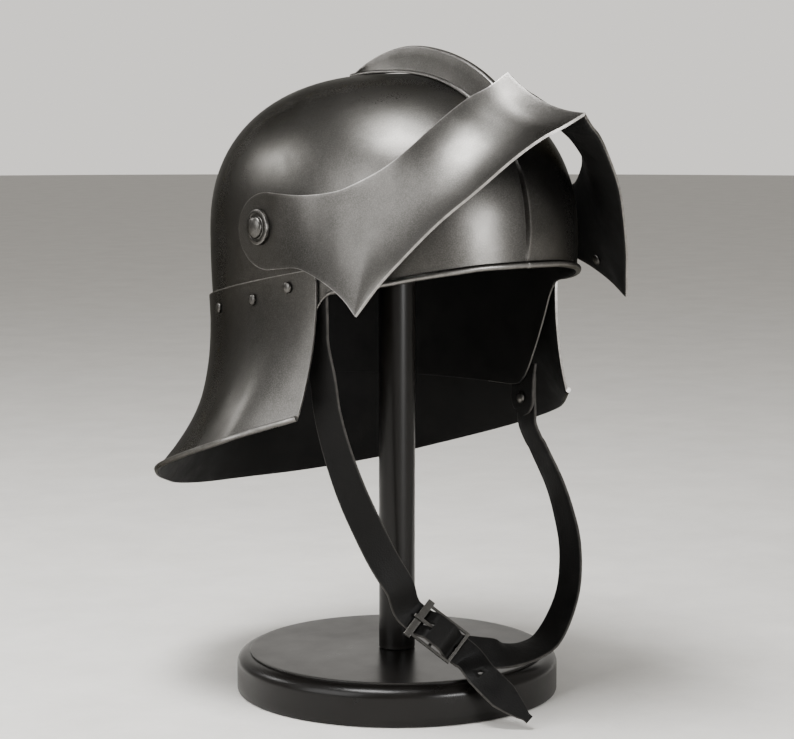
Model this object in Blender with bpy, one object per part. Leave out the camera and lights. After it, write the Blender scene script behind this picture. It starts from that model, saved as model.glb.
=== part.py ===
# Visored sallet helmet on a turned display stand, in metres.
# Z is the stand's axis and points up. The origin is the middle of the base's underside.
# The helmet faces -Y, and the wearer's right side is at -X. The visor is shown raised.

import math

import bmesh
import bpy
import numpy as np
from mathutils import Matrix, Vector

# Stand
baseRadius = 0.100
baseThickness = 0.025
baseShoulder = 0.008
baseStepDepth = 0.0012
postRadius = 0.01125
headRadius = 0.034
headDepth = 0.022
headFit = 0.0006

# Skull
skullHalfWidth = 0.0968
skullFront = 0.1210
skullRear = 0.1406
crownHeight = 0.3816
waistHeight = 0.283
browHeight = 0.272
earDrop = 0.087
planPower = 2.13
domePower = 2.31
footTuck = 0.065
footEase = 0.20
creaseHeight = 0.0034
creaseSpread = 24.0
skullWall = 0.0016
rimBead = 0.0021

# Comb along the crown
combBack = 0.040
combFront = 0.104
combHeight = 0.0165
combRoot = 0.0044
combTop = 0.0022
combFlange = 0.0016
combFlangeHeight = 0.0022

# Neck guard
guardWall = 0.0015
guardGap = 0.0008
guardFrontAhead = 0.043
guardTopHeight = 0.2615
guardTopSlope = 0.185
guardFrontFoot = 0.183
guardTailFoot = 0.1122
guardFlare = 0.040
guardFlarePower = 2.1
guardCornerRadius = 0.009
guardBead = 0.0017
neckRivetRadius = 0.0034
neckRivetHeight = 0.0019
neckRivetInset = 0.0090

# Visor and its pivots
pivotHeight = 0.292
pivotAhead = 0.003
pivotStandoff = 0.0062
visorWall = 0.0016
visorReach = 0.1692
visorRise = 0.0898
visorDish = 0.0086
armEndLength = 0.0188
shankRadius = 0.0032
washerRadius = 0.0125
pivotPlateRadius = 0.0105
pivotPlateThickness = 0.0024
pivotDomeRadius = 0.0066
pivotDomeHeight = 0.0036
peenRadius = 0.0062
peenThickness = 0.0014
studRadius = 0.0034
studHeight = 0.0016

# Chin strap and buckle
strapWidth = 0.0186
strapWall = 0.0022
foldWall = 0.0011
foldWidth = 0.0130
foldRivetRadius = 0.0020
foldRivetHeight = 0.0010
tabRadius = 0.0115
tabLength = 0.034
strapRivetRadius = 0.0036
strapRivetHeight = 0.0018
cheekAhead = 0.038
tabAhead = 0.014
holeRadius = 0.0018
holePitch = 0.0225
buckleWidth = 0.0228
buckleLength = 0.0290
buckleWall = 0.0018
frontBarWidth = 0.0044
frontBarReach = 0.0268
thinBarWidth = 0.0018
railWidth = 0.0015
prongWidth = 0.0022
prongWall = 0.0011

# Fits
gap = 0.0003
turningGap = 0.0004

# Height of the skull's face-opening edge, from the brow's middle round to the nape.
# Columns: angle round the skull from the front in degrees, drop as a share of earDrop.
rimRun = [
    (0, 0.000), (14, 0.006), (27, 0.035), (37, 0.066), (47, 0.107), (57, 0.145),
    (64, 0.172), (68, 0.205), (71.5, 0.290), (75, 0.500), (79, 0.750), (82, 0.915),
    (85, 0.985), (90, 1.000), (180, 1.000),
]

# How far the neck guard's foot stands out, as shares of guardFlare.
# Columns: angle round the skull from the front in degrees, share.
flareRun = [
    (70, 0.450), (76, 0.590), (83, 0.830), (90, 1.060), (98, 1.200), (110, 1.260),
    (125, 1.080), (140, 0.900), (160, 0.890), (180, 0.960),
]

# Neck rivets from each side's front one to the nape's middle.
# Columns: ahead of the axis as a share of skullRear, share of neckRivetInset.
neckRivetRun = [(0.153, 0.90), (-0.090, 1.25), (-0.430, 1.25), (-1.000, 1.25)]

# Half of the visor, from its keel to the arm's end.
# Columns: upper edge out, ahead, up; lower edge out, ahead, up; dish.
# Out is a share of the arms' half span, ahead of visorReach, up of visorRise.
visorRun = [
    (0.000, 0.612, 1.000, 0.000, 1.000, 0.749, 0.64),
    (0.126, 0.600, 0.907, 0.101, 0.968, 0.672, 0.84),
    (0.251, 0.592, 0.842, 0.210, 0.937, 0.601, 0.88),
    (0.405, 0.597, 0.743, 0.347, 0.891, 0.472, 0.77),
    (0.528, 0.587, 0.637, 0.525, 0.828, 0.269, 0.63),
    (0.609, 0.569, 0.550, 0.684, 0.749, 0.069, 0.51),
    (0.677, 0.540, 0.469, 0.839, 0.666, -0.175, 0.42),
    (0.733, 0.505, 0.401, 0.918, 0.616, -0.322, 0.35),
    (0.777, 0.467, 0.351, 1.000, 0.564, -0.507, 0.29),
    (0.831, 0.416, 0.295, 0.995, 0.497, -0.419, 0.20),
    (0.874, 0.366, 0.254, 0.995, 0.422, -0.350, 0.10),
    (0.922, 0.290, 0.228, 0.997, 0.334, -0.290, 0.04),
    (0.968, 0.213, 0.218, 1.000, 0.236, -0.248, 0.00),
    (1.000, 0.130, 0.223, 1.000, 0.130, -0.263, 0.00),
    (1.000, 0.059, 0.228, 1.000, 0.059, -0.278, 0.00),
]
visorTipRow = 8
keelBlend = 1.6

# The long strap from below the left cheek to its pointed end, in shares.
# Columns: across of skullHalfWidth, ahead of baseRadius, height of the brow over the base,
# then the direction that the strap's outer face looks in.
longRun = [
    (-0.884, 0.398, 0.719, -0.95, -0.31, 0.00),
    (-0.868, 0.418, 0.643, -0.93, -0.37, 0.00),
    (-0.823, 0.450, 0.555, -0.88, -0.46, 0.05),
    (-0.756, 0.490, 0.463, -0.80, -0.58, 0.12),
    (-0.686, 0.530, 0.388, -0.70, -0.68, 0.20),
    (-0.584, 0.580, 0.295, -0.55, -0.78, 0.28),
    (-0.500, 0.620, 0.233, -0.42, -0.84, 0.32),
    (-0.362, 0.668, 0.140, -0.31, -0.89, 0.35),
    (-0.205, 0.835, 0.073, -0.31, -0.89, 0.35),
    (-0.181, 1.030, 0.022, -0.31, -0.86, 0.42),
    (-0.111, 1.165, -0.028, -0.28, -0.88, 0.38),
    (-0.020, 1.285, -0.078, -0.25, -0.92, 0.30),
]
bucklePlace = (7, 8)

# The short strap from below the right cheek to the back of the buckle, in the same shares.
shortRun = [
    (0.985, 0.130, 0.575, -1.00, 0.05, 0.00),
    (0.990, 0.138, 0.538, -1.00, 0.08, -0.10),
    (1.042, 0.190, 0.473, -1.00, 0.08, -0.15),
    (1.090, 0.280, 0.392, -1.00, 0.05, -0.10),
    (1.085, 0.380, 0.316, -1.00, 0.00, 0.05),
    (1.047, 0.480, 0.242, -0.95, 0.00, 0.30),
    (0.945, 0.585, 0.156, -0.85, -0.05, 0.50),
    (0.795, 0.670, 0.092, -0.65, -0.15, 0.75),
    (0.610, 0.745, 0.042, -0.35, -0.30, 0.90),
    (0.420, 0.800, 0.029, -0.12, -0.40, 0.92),
    (0.230, 0.835, 0.032, -0.15, -0.60, 0.78),
]

# The short strap's way under the buckle, round its middle bar and back as a riveted flap.
# Columns: along and across as shares of buckleLength, then depth as a share of the layer's.
foldIn = [
    (1.20, 0.560, 2.30), (1.00, 0.400, 1.75), (0.84, 0.270, 1.36), (0.68, 0.150, 1.12),
    (0.54, 0.060, 1.00), (0.41, 0.01, 1.00), (0.31, 0.00, 1.00), (0.235, 0.00, 1.00),
    (0.165, 0.00, 0.95), (0.09, 0.00, 0.72),
]
foldBack = [
    (0.10, 0.00, -0.10), (0.155, 0.00, 0.50), (0.205, 0.00, 0.93), (0.26, 0.00, 1.00),
    (0.36, 0.00, 1.00), (0.45, 0.02, 1.00),
]


def removeOldObjects():
    for item in list(bpy.data.objects):
        bpy.data.objects.remove(item, do_unlink=True)


def finish(name, colour, roughness, metallic):
    material = bpy.data.materials.new(name)
    material.use_nodes = True
    shader = material.node_tree.nodes["Principled BSDF"]
    shader.inputs["Base Color"].default_value = (*colour, 1.0)
    shader.inputs["Roughness"].default_value = roughness
    shader.inputs["Metallic"].default_value = metallic
    return material


def smoothRun(rows, at, corner=None, broken=()):
    """Smooth curve through table rows; the broken columns turn sharply at the corner row."""
    table = np.array(rows, float)
    place = min(max(at, 0.0), len(table) - 1.0)
    low = min(int(place), len(table) - 2)
    share = place - low

    def slope(row, side):
        before = table[max(row - 1, 0)]
        after = table[min(row + 1, len(table) - 1)]
        middle = (after - before) / (2.0 if 0 < row < len(table) - 1 else 1.0)
        if corner == row:
            oneSided = table[row] - before if side < 0 else after - table[row]
            for column in broken:
                middle[column] = oneSided[column]
        return middle

    first, last = table[low], table[low + 1]
    leave, arrive = slope(low, 1), slope(low + 1, -1)
    square, cube = share ** 2, share ** 3
    return (
        (2 * cube - 3 * square + 1) * first + (cube - 2 * square + share) * leave
        + (3 * square - 2 * cube) * last + (cube - square) * arrive
    )


def smoothColumn(rows, key):
    """Value in the second column at a key in the first, on a smooth monotone run."""
    keys = np.array([row[0] for row in rows], float)
    values = np.array([row[1] for row in rows], float)
    spans = np.diff(keys)
    steps = np.diff(values) / spans
    slopes = np.zeros(len(keys))
    for row in range(1, len(keys) - 1):
        if steps[row - 1] * steps[row] > 0:
            slopes[row] = 2 * steps[row - 1] * steps[row] / (steps[row - 1] + steps[row])
    key = min(max(key, keys[0]), keys[-1])
    low = min(int(np.searchsorted(keys, key, side="right")) - 1, len(keys) - 2)
    share = (key - keys[low]) / spans[low]
    square, cube = share ** 2, share ** 3
    return (
        (2 * cube - 3 * square + 1) * values[low]
        + (cube - 2 * square + share) * spans[low] * slopes[low]
        + (3 * square - 2 * cube) * values[low + 1]
        + (cube - square) * spans[low] * slopes[low + 1]
    )


def fade(value, start, end):
    share = min(max((value - start) / (end - start), 0.0), 1.0)
    return share * share * (3 - 2 * share)


def unit(vector):
    return vector / np.linalg.norm(vector)


def power(value, exponent):
    return math.copysign(abs(value) ** exponent, value)


def loft(name, rings, material, ends="fan", closed=False):
    """Joins rings of equal length into one closed skin; ends close by a fan or a ladder."""
    mesh = bmesh.new()
    rows = [[mesh.verts.new(tuple(point)) for point in ring] for ring in rings]
    count = len(rows[0])
    pairs = list(zip(rows[:-1], rows[1:]))
    if closed:
        pairs.append((rows[-1], rows[0]))
    for first, last in pairs:
        for place in range(count):
            after = (place + 1) % count
            mesh.faces.new((first[place], first[after], last[after], last[place]))
    if not closed and ends == "fan":
        for ring, points in ((rows[0], rings[0]), (rows[-1], rings[-1])):
            middle = mesh.verts.new(tuple(np.mean(np.array(points), axis=0)))
            for place in range(count):
                mesh.faces.new((ring[place], ring[(place + 1) % count], middle))
    if not closed and ends == "ladder":
        for ring in (rows[0], rows[-1]):
            for place in range(count // 2 - 1):
                far = count - 1 - place
                mesh.faces.new((ring[place], ring[place + 1], ring[far - 1], ring[far]))
    bmesh.ops.recalc_face_normals(mesh, faces=mesh.faces)
    return addObject(name, mesh, material)


def addObject(name, mesh, material, sharpAngle=35.0):
    data = bpy.data.meshes.new(name)
    mesh.to_mesh(data)
    mesh.free()
    data.materials.append(material)
    data.shade_smooth()
    data.set_sharp_from_angle(angle=math.radians(sharpAngle))
    item = bpy.data.objects.new(name, data)
    bpy.context.collection.objects.link(item)
    return item


def turned(name, profile, seat, axis, material, sides, closed=False):
    """Turns a profile of (radius, along) pairs round an axis that starts at the seat."""
    along = unit(np.array(axis, float))
    helper = np.array((0.0, 0.0, 1.0)) if abs(along[2]) < 0.9 else np.array((1.0, 0.0, 0.0))
    across = unit(np.cross(helper, along))
    other = np.cross(along, across)
    rings = []
    for radius, distance in profile:
        ring = []
        for side in range(sides):
            angle = 2 * math.pi * side / sides
            out = across * math.cos(angle) + other * math.sin(angle)
            ring.append(np.array(seat, float) + along * distance + out * radius)
        rings.append(ring)
    return loft(name, rings, material, closed=closed)


def domeProfile(radius, height, rows=4):
    """Profile of a low dome on a short straight edge, from its seat to its top."""
    edge = height * 0.25
    profile = [(radius, 0.0), (radius, edge)]
    for row in range(1, rows):
        angle = 0.5 * math.pi * row / rows
        profile.append((radius * math.cos(angle), edge + (height - edge) * math.sin(angle)))
    return profile


def cutThrough(item, cutter):
    """Takes the cutter's shape out of a piece with an exact Boolean."""
    cutter.hide_render = True
    cutter.display_type = "WIRE"
    cut = item.modifiers.new("cut_" + cutter.name, "BOOLEAN")
    cut.operation = "DIFFERENCE"
    cut.solver = "EXACT"
    cut.object = cutter


def hangOnPivot(item):
    """Puts a piece's origin on the visor's pivot line without moving its shape."""
    pivot = Vector((0.0, -pivotAhead, pivotHeight))
    item.data.transform(Matrix.Translation(-pivot))
    item.location = pivot


def skullScale(height, offset=0.0):
    """Share of the skull's full plan size at a height."""
    if height <= waistHeight:
        down = (waistHeight - height) / (waistHeight - browHeight + earDrop)
        below = max(down - 1.0, 0.0)
        tuck = min(down, 1.0) ** 2 + 2 * footEase * (1.0 - math.exp(-below / footEase))
        return 1.0 - footTuck * tuck
    rise = (height - waistHeight) / (crownHeight + offset - waistHeight)
    return max(1.0 - min(rise, 1.0) ** domePower, 0.0) ** (1.0 / domePower)


def creaseAt(around, height):
    """How far the front crease stands out of the skull's round front."""
    spread = max(0.0, 1.0 - abs(around) / creaseSpread)
    upper = 1.0 - fade(height, waistHeight + 0.040, waistHeight + 0.062)
    lower = 0.30 + 0.70 * fade(height, browHeight, browHeight + 0.020)
    return creaseHeight * spread * upper * lower


def skullAt(around, height, offset=0.0):
    """Point on the skull's outer face, moved out by offset; around is in degrees."""
    angle = math.radians(around)
    scale = skullScale(height, offset)
    length = skullFront if math.cos(angle) > 0 else skullRear
    out = (skullHalfWidth + offset) * power(math.sin(angle), 2 / planPower) * scale
    back = -(length + offset) * power(math.cos(angle), 2 / planPower) * scale
    return np.array((out, back - creaseAt(around, height), height))


def skullNormal(around, height, offset=0.0):
    """Outward direction of the skull's face."""
    small = 0.4
    run = skullAt(around + small, height, offset) - skullAt(around - small, height, offset)
    rise = skullAt(around, height + 0.0008, offset) - skullAt(around, height - 0.0008, offset)
    normal = unit(np.cross(run, rise))
    point = skullAt(around, height, offset)
    return normal if normal[:2] @ point[:2] > 0 else -normal


def aroundFor(ahead, side=1.0):
    """Angle round the skull at which its widest outline is this far ahead of the axis."""
    length = skullFront if ahead > 0 else skullRear
    share = power(ahead / length, planPower / 2)
    return side * math.degrees(math.acos(min(max(share, -1.0), 1.0)))


def rimHeight(around):
    turn = abs((around + 180.0) % 360.0 - 180.0)
    return browHeight - earDrop * smoothColumn(rimRun, turn)


def rimRadius(around):
    """Radius of the rolled edge, which thins to the plain edge behind the ears."""
    turn = abs((around + 180.0) % 360.0 - 180.0)
    plain = 0.5 * skullWall
    return plain + (rimBead - plain) * (1.0 - fade(turn, 62.0, 69.0))


def rimRing(around, steps):
    """Section of the rolled edge, from the outer face round to the inner face."""
    small = 0.5
    height = rimHeight(around)
    edge = skullAt(around, height)
    before = skullAt(around - small, rimHeight(around - small))
    after = skullAt(around + small, rimHeight(around + small))
    normal = skullNormal(around, height)
    run = unit(after - before)
    down = unit(np.cross(run, normal))
    if down[2] > 0:
        down = -down
    radius = rimRadius(around)
    middle = edge + normal * (radius - skullWall)
    start = -math.acos(min(max((skullWall - radius) / radius, -1.0), 1.0))
    ring = []
    for step in range(steps + 1):
        angle = start + (math.pi - start) * step / steps
        ring.append(middle + radius * (normal * math.cos(angle) + down * math.sin(angle)))
    return ring


def skullColumns(step):
    """Angles round the skull, closer together where the face opening turns down."""
    half = list(np.arange(0.0, 62.0, step))
    half += list(np.arange(64.0, 90.0, step * 0.5))
    half += list(np.linspace(93.0, 180.0, int(87.0 / step) + 1))
    return half + [360.0 - angle for angle in reversed(half[1:-1])]


def makeSkull(material):
    columns = skullColumns(7.0)
    outerRows, innerRows, rimSteps = 10, 9, 4
    rims = [rimRing(around, rimSteps) for around in columns]
    rings = []
    for row in reversed(range(1, outerRows)):
        rise = math.sin(0.5 * math.pi * row / outerRows)
        ring = []
        for around in columns:
            height = rimHeight(around) + (crownHeight - rimHeight(around)) * rise
            ring.append(skullAt(around, height))
        rings.append(ring)
    for step in range(rimSteps + 1):
        rings.append([rim[step] for rim in rims])
    innerRises = [math.sin(0.5 * math.pi * row / innerRows) for row in range(1, innerRows)]
    for rise in innerRises + [0.992]:
        ring = []
        for around in columns:
            top = crownHeight - skullWall
            height = rimHeight(around) + (top - rimHeight(around)) * rise
            ring.append(skullAt(around, height, -skullWall))
        rings.append(ring)
    skull = loft("skull", rings, material)
    poles = [vertex for vertex in skull.data.vertices if np.hypot(vertex.co.x, vertex.co.y) < 0.004]
    poles.sort(key=lambda vertex: vertex.co.z)
    poles[0].co = (0.0, 0.0, crownHeight - skullWall)
    poles[-1].co = (0.0, 0.0, crownHeight)
    return skull


def crownLine(back):
    """Height of the skull's outer face on its middle line, back from the axis."""
    length = skullRear if back > 0 else skullFront
    share = min(abs(back) / length, 1.0)
    return waistHeight + (crownHeight - waistHeight) * (1.0 - share ** domePower) ** (1.0 / domePower)


def makeComb(material):
    stations = 18
    rings = []
    for station in range(stations + 1):
        share = station / stations
        back = combBack - (combBack + combFront) * share
        small = 0.0005
        seat = np.array((0.0, back, crownLine(back)))
        run = unit(np.array((0.0, -2 * small, crownLine(back - small) - crownLine(back + small))))
        normal = np.array((0.0, run[2], -run[1]))
        out = np.array((1.0, 0.0, 0.0))
        rise = math.sin(0.5 * math.pi * min(share / 0.46, 1.0)) ** 0.9
        rise *= 1.0 - fade(share, 0.84, 1.0) * 0.86
        height = combFlangeHeight + 0.0006 + (combHeight - combFlangeHeight) * rise
        foot = combRoot + combFlange
        half = [
            (foot, 1.6 * gap), (foot, combFlangeHeight * 0.55), (foot - combFlange * 0.5, combFlangeHeight),
            (combRoot, combFlangeHeight + 0.0002),
            (combTop + (combRoot - combTop) * 0.35, gap + height * 0.62),
            (combTop, gap + height - combTop * 0.35), (combTop * 0.6, gap + height),
        ]
        ring = [seat + out * x + normal * y for x, y in half]
        ring += [seat - out * x + normal * y for x, y in reversed(half)]
        rings.append(ring)
    return loft("comb", rings, material, ends="ladder")


def guardEdges(around):
    """Heights of the neck guard's upper and lower edge at an angle round the skull."""
    back = skullAt(around, waistHeight)[1]
    top = guardTopHeight - guardTopSlope * back
    ahead = max(back + guardFrontAhead, 0.0)
    if ahead < guardCornerRadius:
        over = guardCornerRadius - ahead
        top -= guardCornerRadius - math.sqrt(guardCornerRadius ** 2 - over ** 2)
    share = ahead / (skullRear + guardFrontAhead)
    foot = guardFrontFoot + (guardTailFoot - guardFrontFoot) * share
    return top, foot


def guardAt(around, drop, offset=0.0):
    """Point on the neck guard's outer face; drop runs from its upper edge to its foot."""
    top, foot = guardEdges(around)
    height = top + (foot - top) * drop
    seat = skullAt(around, height, guardGap + guardWall + offset)
    turn = abs((around + 180.0) % 360.0 - 180.0)
    plan = skullAt(around, waistHeight)
    out = power(plan[0] / skullHalfWidth, planPower - 1) / skullHalfWidth
    back = power(max(plan[1], 0.0) / skullRear, planPower - 1) / skullRear
    away = unit(np.array((out, back, 0.0)))
    return seat + away * guardFlare * smoothColumn(flareRun, turn) * drop ** guardFlarePower


def guardNormal(around, drop):
    small = 0.4
    run = guardAt(around + small, drop) - guardAt(around - small, drop)
    fall = guardAt(around, min(drop + 0.01, 1.0)) - guardAt(around, max(drop - 0.01, 0.0))
    normal = unit(np.cross(run, fall))
    plan = skullAt(around, waistHeight)
    return normal if normal[:2] @ plan[:2] > 0 else -normal


def guardColumns(step):
    front = [guardFrontAhead - guardCornerRadius * share for share in (0.0, 0.1, 0.3, 0.6, 1.0)]
    half = [aroundFor(ahead) for ahead in front]
    half += list(np.linspace(half[-1], 180.0, int(100.0 / step) + 1))[1:]
    return half + [360.0 - angle for angle in reversed(half[:-1])]


def makeGuard(material):
    rows, beadSteps = 7, 3
    rings = []
    for around in guardColumns(7.5):
        outer = [guardAt(around, row / rows) for row in range(rows)]
        inner = []
        for row in range(rows):
            inner.append(guardAt(around, row / rows) - guardNormal(around, row / rows) * guardWall)
        foot = guardAt(around, 1.0)
        normal = guardNormal(around, 1.0)
        small = 0.5
        run = unit(guardAt(around + small, 1.0) - guardAt(around - small, 1.0))
        down = unit(np.cross(run, normal))
        if down[2] > 0:
            down = -down
        middle = foot + normal * (guardBead - guardWall)
        start = -math.acos((guardWall - guardBead) / guardBead)
        bead = []
        for step in range(beadSteps + 1):
            angle = start + (math.pi - start) * step / beadSteps
            bead.append(middle + guardBead * (normal * math.cos(angle) + down * math.sin(angle)))
        ring = outer + bead + inner[::-1]
        rings.append(ring)
    if len(rings[0]) % 2:
        rings = [ring[:-1] + [ring[-1], 0.5 * (ring[-1] + ring[0])] for ring in rings]
    return loft("neck_guard", rings, material, ends="ladder")


def makeNeckRivets(material):
    """Domed rivets: three along each side and one in the middle of the nape."""
    half = [(aroundFor(ahead * skullRear), share) for ahead, share in neckRivetRun]
    rivets = half + [(360.0 - around, share) for around, share in reversed(half[:-1])]
    for number, (around, share) in enumerate(rivets, start=1):
        top, foot = guardEdges(around)
        drop = share * neckRivetInset / (top - foot)
        normal = guardNormal(around, drop)
        seat = guardAt(around, drop) + normal * 1.6 * gap
        profile = domeProfile(neckRivetRadius, neckRivetHeight, 3)
        turned("neck_rivet_%d" % number, profile, seat, normal, material, 12)


def armSpan():
    """Distance of the visor arms' outer face from the middle plane."""
    return skullAt(90.0, pivotHeight)[0] + pivotStandoff + visorWall


def visorEdges(place):
    """Upper edge, lower edge and dish of the visor's left half at a place along its run."""
    last = len(visorRun) - 1.0
    span = armSpan()
    scale = np.array((span, visorReach, visorRise, span, visorReach, visorRise, visorDish))
    row = smoothRun(visorRun, place, visorTipRow, (3, 4, 5)) * scale
    upper, lower = row[0:3], row[3:6]
    if place > last:
        angle = 0.5 * math.pi * (1.0 - (place - last))
        upper, lower = row[0:3].copy(), row[3:6].copy()
        middle = 0.5 * (upper[2] + lower[2])
        half = 0.5 * (upper[2] - lower[2])
        back = row[1] - (row[1] + armEndLength) * math.cos(angle)
        upper[1], lower[1] = back, back
        upper[2], lower[2] = middle + half * math.sin(angle), middle - half * math.sin(angle)
    return upper, lower, row[6]


def visorAt(place, across):
    """Point of the visor's outer face; across runs from the upper to the lower edge."""
    side = -1.0 if place < 0 else 1.0
    upper, lower, dish = visorEdges(abs(place))
    before = visorEdges(max(abs(place) - 0.2, 0.0))
    after = visorEdges(abs(place) + 0.2) if abs(place) < len(visorRun) - 1.2 else (upper, lower)
    away = fade(abs(place), 0.0, keelBlend)
    run = unit((after[0] + after[1]) - (before[0] + before[1])) * away
    run += np.array((1.0 - away, 0.0, 0.0))
    chord = lower - upper
    inward = np.cross(chord, run)
    if np.linalg.norm(inward) > 1e-9:
        inward = unit(inward)
        if inward @ (upper + lower) > 0:
            inward = -inward
    sag = dish * 4.0 * across * (1.0 - across)
    out, ahead, up = upper + chord * across + inward * sag
    return np.array((side * out, -ahead, pivotHeight + up))


def visorPlaces(parts):
    """Places along the visor from the left arm's end to the right arm's end."""
    last = len(visorRun) - 1
    half = list(np.linspace(0.0, last, last * parts + 1))
    half += [last + share for share in (0.17, 0.34, 0.50, 0.66, 0.81, 0.93)]
    return [-place for place in reversed(half[1:])] + half


def makeVisor(material):
    places = visorPlaces(2)
    rows = 4
    grid = np.array([[visorAt(place, row / rows) for row in range(rows + 1)] for place in places])
    grid[len(places) // 2, :, 0] = 0.0
    runs = np.gradient(grid, axis=0)
    falls = np.gradient(grid, axis=1)
    normals = np.cross(runs, falls)
    normals /= np.linalg.norm(normals, axis=2, keepdims=True)
    middle = grid.mean(axis=1) - np.array((0.0, 0.0, pivotHeight))
    for column in range(len(places)):
        if normals[column].mean(axis=0) @ middle[column] < 0:
            normals[column] = -normals[column]
        if abs(places[column]) > len(visorRun) - 3:
            normals[column] = (math.copysign(1.0, places[column]), 0.0, 0.0)
    inner = grid - normals * visorWall
    rings = [list(grid[column]) + list(inner[column][::-1]) for column in range(len(places))]
    visor = loft("visor", rings, material, ends="ladder")
    reach = armSpan() + 0.010
    hole = [(shankRadius + turningGap, -reach), (shankRadius + turningGap, reach)]
    seat = (0.0, -pivotAhead, pivotHeight)
    cutter = turned("pivot_hole_cutter", hole, seat, (1, 0, 0), material, 16)
    cutThrough(visor, cutter)
    hangOnPivot(visor)
    return cutter


def makePivots(material, brightMaterial):
    skullSide = skullAt(90.0, pivotHeight)[0]
    armFace = armSpan()
    for name, side in (("left", 1.0), ("right", -1.0)):
        axis = (side, 0.0, 0.0)
        seat = (0.0, -pivotAhead, pivotHeight)
        washer = [
            (shankRadius + gap, skullSide + gap), (washerRadius, skullSide + gap),
            (washerRadius, armFace - visorWall - gap),
            (shankRadius + gap, armFace - visorWall - gap),
        ]
        turned("pivot_washer_" + name, washer, seat, axis, material, 16, closed=True)
        inside = skullAt(90.0, pivotHeight + peenRadius)[0] - skullWall - 4 * gap
        plate = armFace + gap
        dome = plate + pivotPlateThickness
        profile = [(peenRadius * 0.7, inside - peenThickness), (peenRadius, inside - peenThickness * 0.5)]
        profile += [(peenRadius, inside), (shankRadius, inside), (shankRadius, plate)]
        profile += [(pivotPlateRadius, plate), (pivotPlateRadius, dome - pivotPlateThickness * 0.4)]
        profile += [(pivotPlateRadius * 0.93, dome), (pivotDomeRadius, dome)]
        profile += [(r, dome + a) for r, a in domeProfile(pivotDomeRadius, pivotDomeHeight, 5)[1:]]
        turned("pivot_rivet_" + name, profile, seat, axis, brightMaterial, 14)


def makeVisorStud(material):
    place, across, small = 9.7, 0.83, 0.05
    spot = visorAt(place, across)
    run = visorAt(place + small, across) - visorAt(place - small, across)
    fall = visorAt(place, across + small) - visorAt(place, across - small)
    inward = unit(np.cross(run, fall))
    if inward[0] > 0:
        inward = -inward
    seat = spot + inward * (visorWall + 1.3 * gap)
    profile = domeProfile(studRadius, studHeight, 3)
    hangOnPivot(turned("visor_stud", profile, seat, inward, material, 12))


def strapRoute(rows):
    """Turns a strap's table into places and facing directions."""
    lift = browHeight - baseThickness
    points = []
    for across, ahead, height, outFace, backFace, upFace in rows:
        place = (across * skullHalfWidth, -ahead * baseRadius, baseThickness + height * lift)
        points.append((*place, outFace, backFace, upFace))
    return points


def buckleFrame():
    """Middle of the buckle with its run, its width and its facing directions."""
    route = np.array(strapRoute(longRun))
    front, rear = route[bucklePlace[0]], route[bucklePlace[1]]
    middle = 0.5 * (front[:3] + rear[:3])
    run = unit(rear[:3] - front[:3])
    face = 0.5 * (front[3:] + rear[3:])
    face = unit(face - run * (face @ run))
    return middle, run, np.cross(face, run), face


def strapSections(points, spacing, dense=None):
    """Places, runs and faces along a smooth strap, closer together where dense says so."""
    fine = np.array([smoothRun(points, at) for at in np.linspace(0, len(points) - 1, 900)])
    pieces = np.linalg.norm(np.diff(fine[:, :3], axis=0), axis=1)
    lengths = np.concatenate([[0.0], np.cumsum(pieces)])
    pace = np.ones(len(fine))
    for index, place in enumerate(fine[:, :3]):
        ends = min(lengths[index], lengths[-1] - lengths[index])
        pace[index] = 0.5 if ends < strapWidth else 1.0
        if dense is not None and np.linalg.norm(place - dense) < 0.8 * buckleLength:
            pace[index] = 0.3
    counts = np.concatenate([[0.0], np.cumsum(pieces / (spacing * 0.5 * (pace[1:] + pace[:-1])))])
    total = int(round(counts[-1])) + 1
    marks = np.interp(np.linspace(0.0, counts[-1], total), counts, lengths)
    even = np.array([[np.interp(mark, lengths, fine[:, axis]) for axis in range(6)] for mark in marks])
    return marks, even[:, :3], *strapDirections(even[:, :3], even[:, 3:])


def strapDirections(places, faces):
    """Unit runs along the places, and the faces made square to them."""
    runs = np.gradient(places, axis=0)
    runs /= np.linalg.norm(runs, axis=1, keepdims=True)
    faces = faces - runs * np.sum(faces * runs, axis=1, keepdims=True)
    faces /= np.linalg.norm(faces, axis=1, keepdims=True)
    return runs, faces


def band(name, marks, places, runs, faces, walls, widths, material):
    """Flat strap with slightly eased long edges."""
    rings = []
    for place, run, face, wall, width in zip(places, runs, faces, walls, widths):
        side = np.cross(face, run)
        ease = 0.22 * wall
        ring = []
        for out, up in ((1, 1), (1, -1), (-1, -1), (-1, 1)):
            flat = side * out * (0.5 * width - ease) + face * up * 0.5 * wall
            edge = side * out * 0.5 * width + face * up * (0.5 * wall - ease)
            ring += [place + flat, place + edge] if out * up > 0 else [place + edge, place + flat]
        rings.append(ring[1:] + ring[:1])
    return loft(name, rings, material, ends="ladder")


def endWidths(marks, roundStart, pointEnd):
    """Strap width along its length, with a round start and a rounded point at the end."""
    widths = []
    for mark in marks:
        width = strapWidth
        left = marks[-1] - mark
        if roundStart and mark < 0.5 * strapWidth:
            over = 0.5 * strapWidth - mark
            width = 2 * math.sqrt(max((0.5 * strapWidth) ** 2 - over ** 2, 0.0))
        if pointEnd > 0 and left < pointEnd:
            width = strapWidth * (left / pointEnd) ** 0.62
        widths.append(max(width, 0.30 * strapWidth))
    return widths


def longStrapTop():
    """Places on the skull's inner face behind the left brow, where the long strap starts."""
    around = -aroundFor(cheekAhead)
    stand = -(skullWall + gap + 0.0008 + 0.5 * strapWall)
    rows = []
    for height in (browHeight - 0.008, browHeight - 0.020, browHeight - 0.034, browHeight - 0.048):
        place = skullAt(around, height, stand)
        face = skullNormal(around, height)
        rows.append((*place, *face))
    return rows


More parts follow.
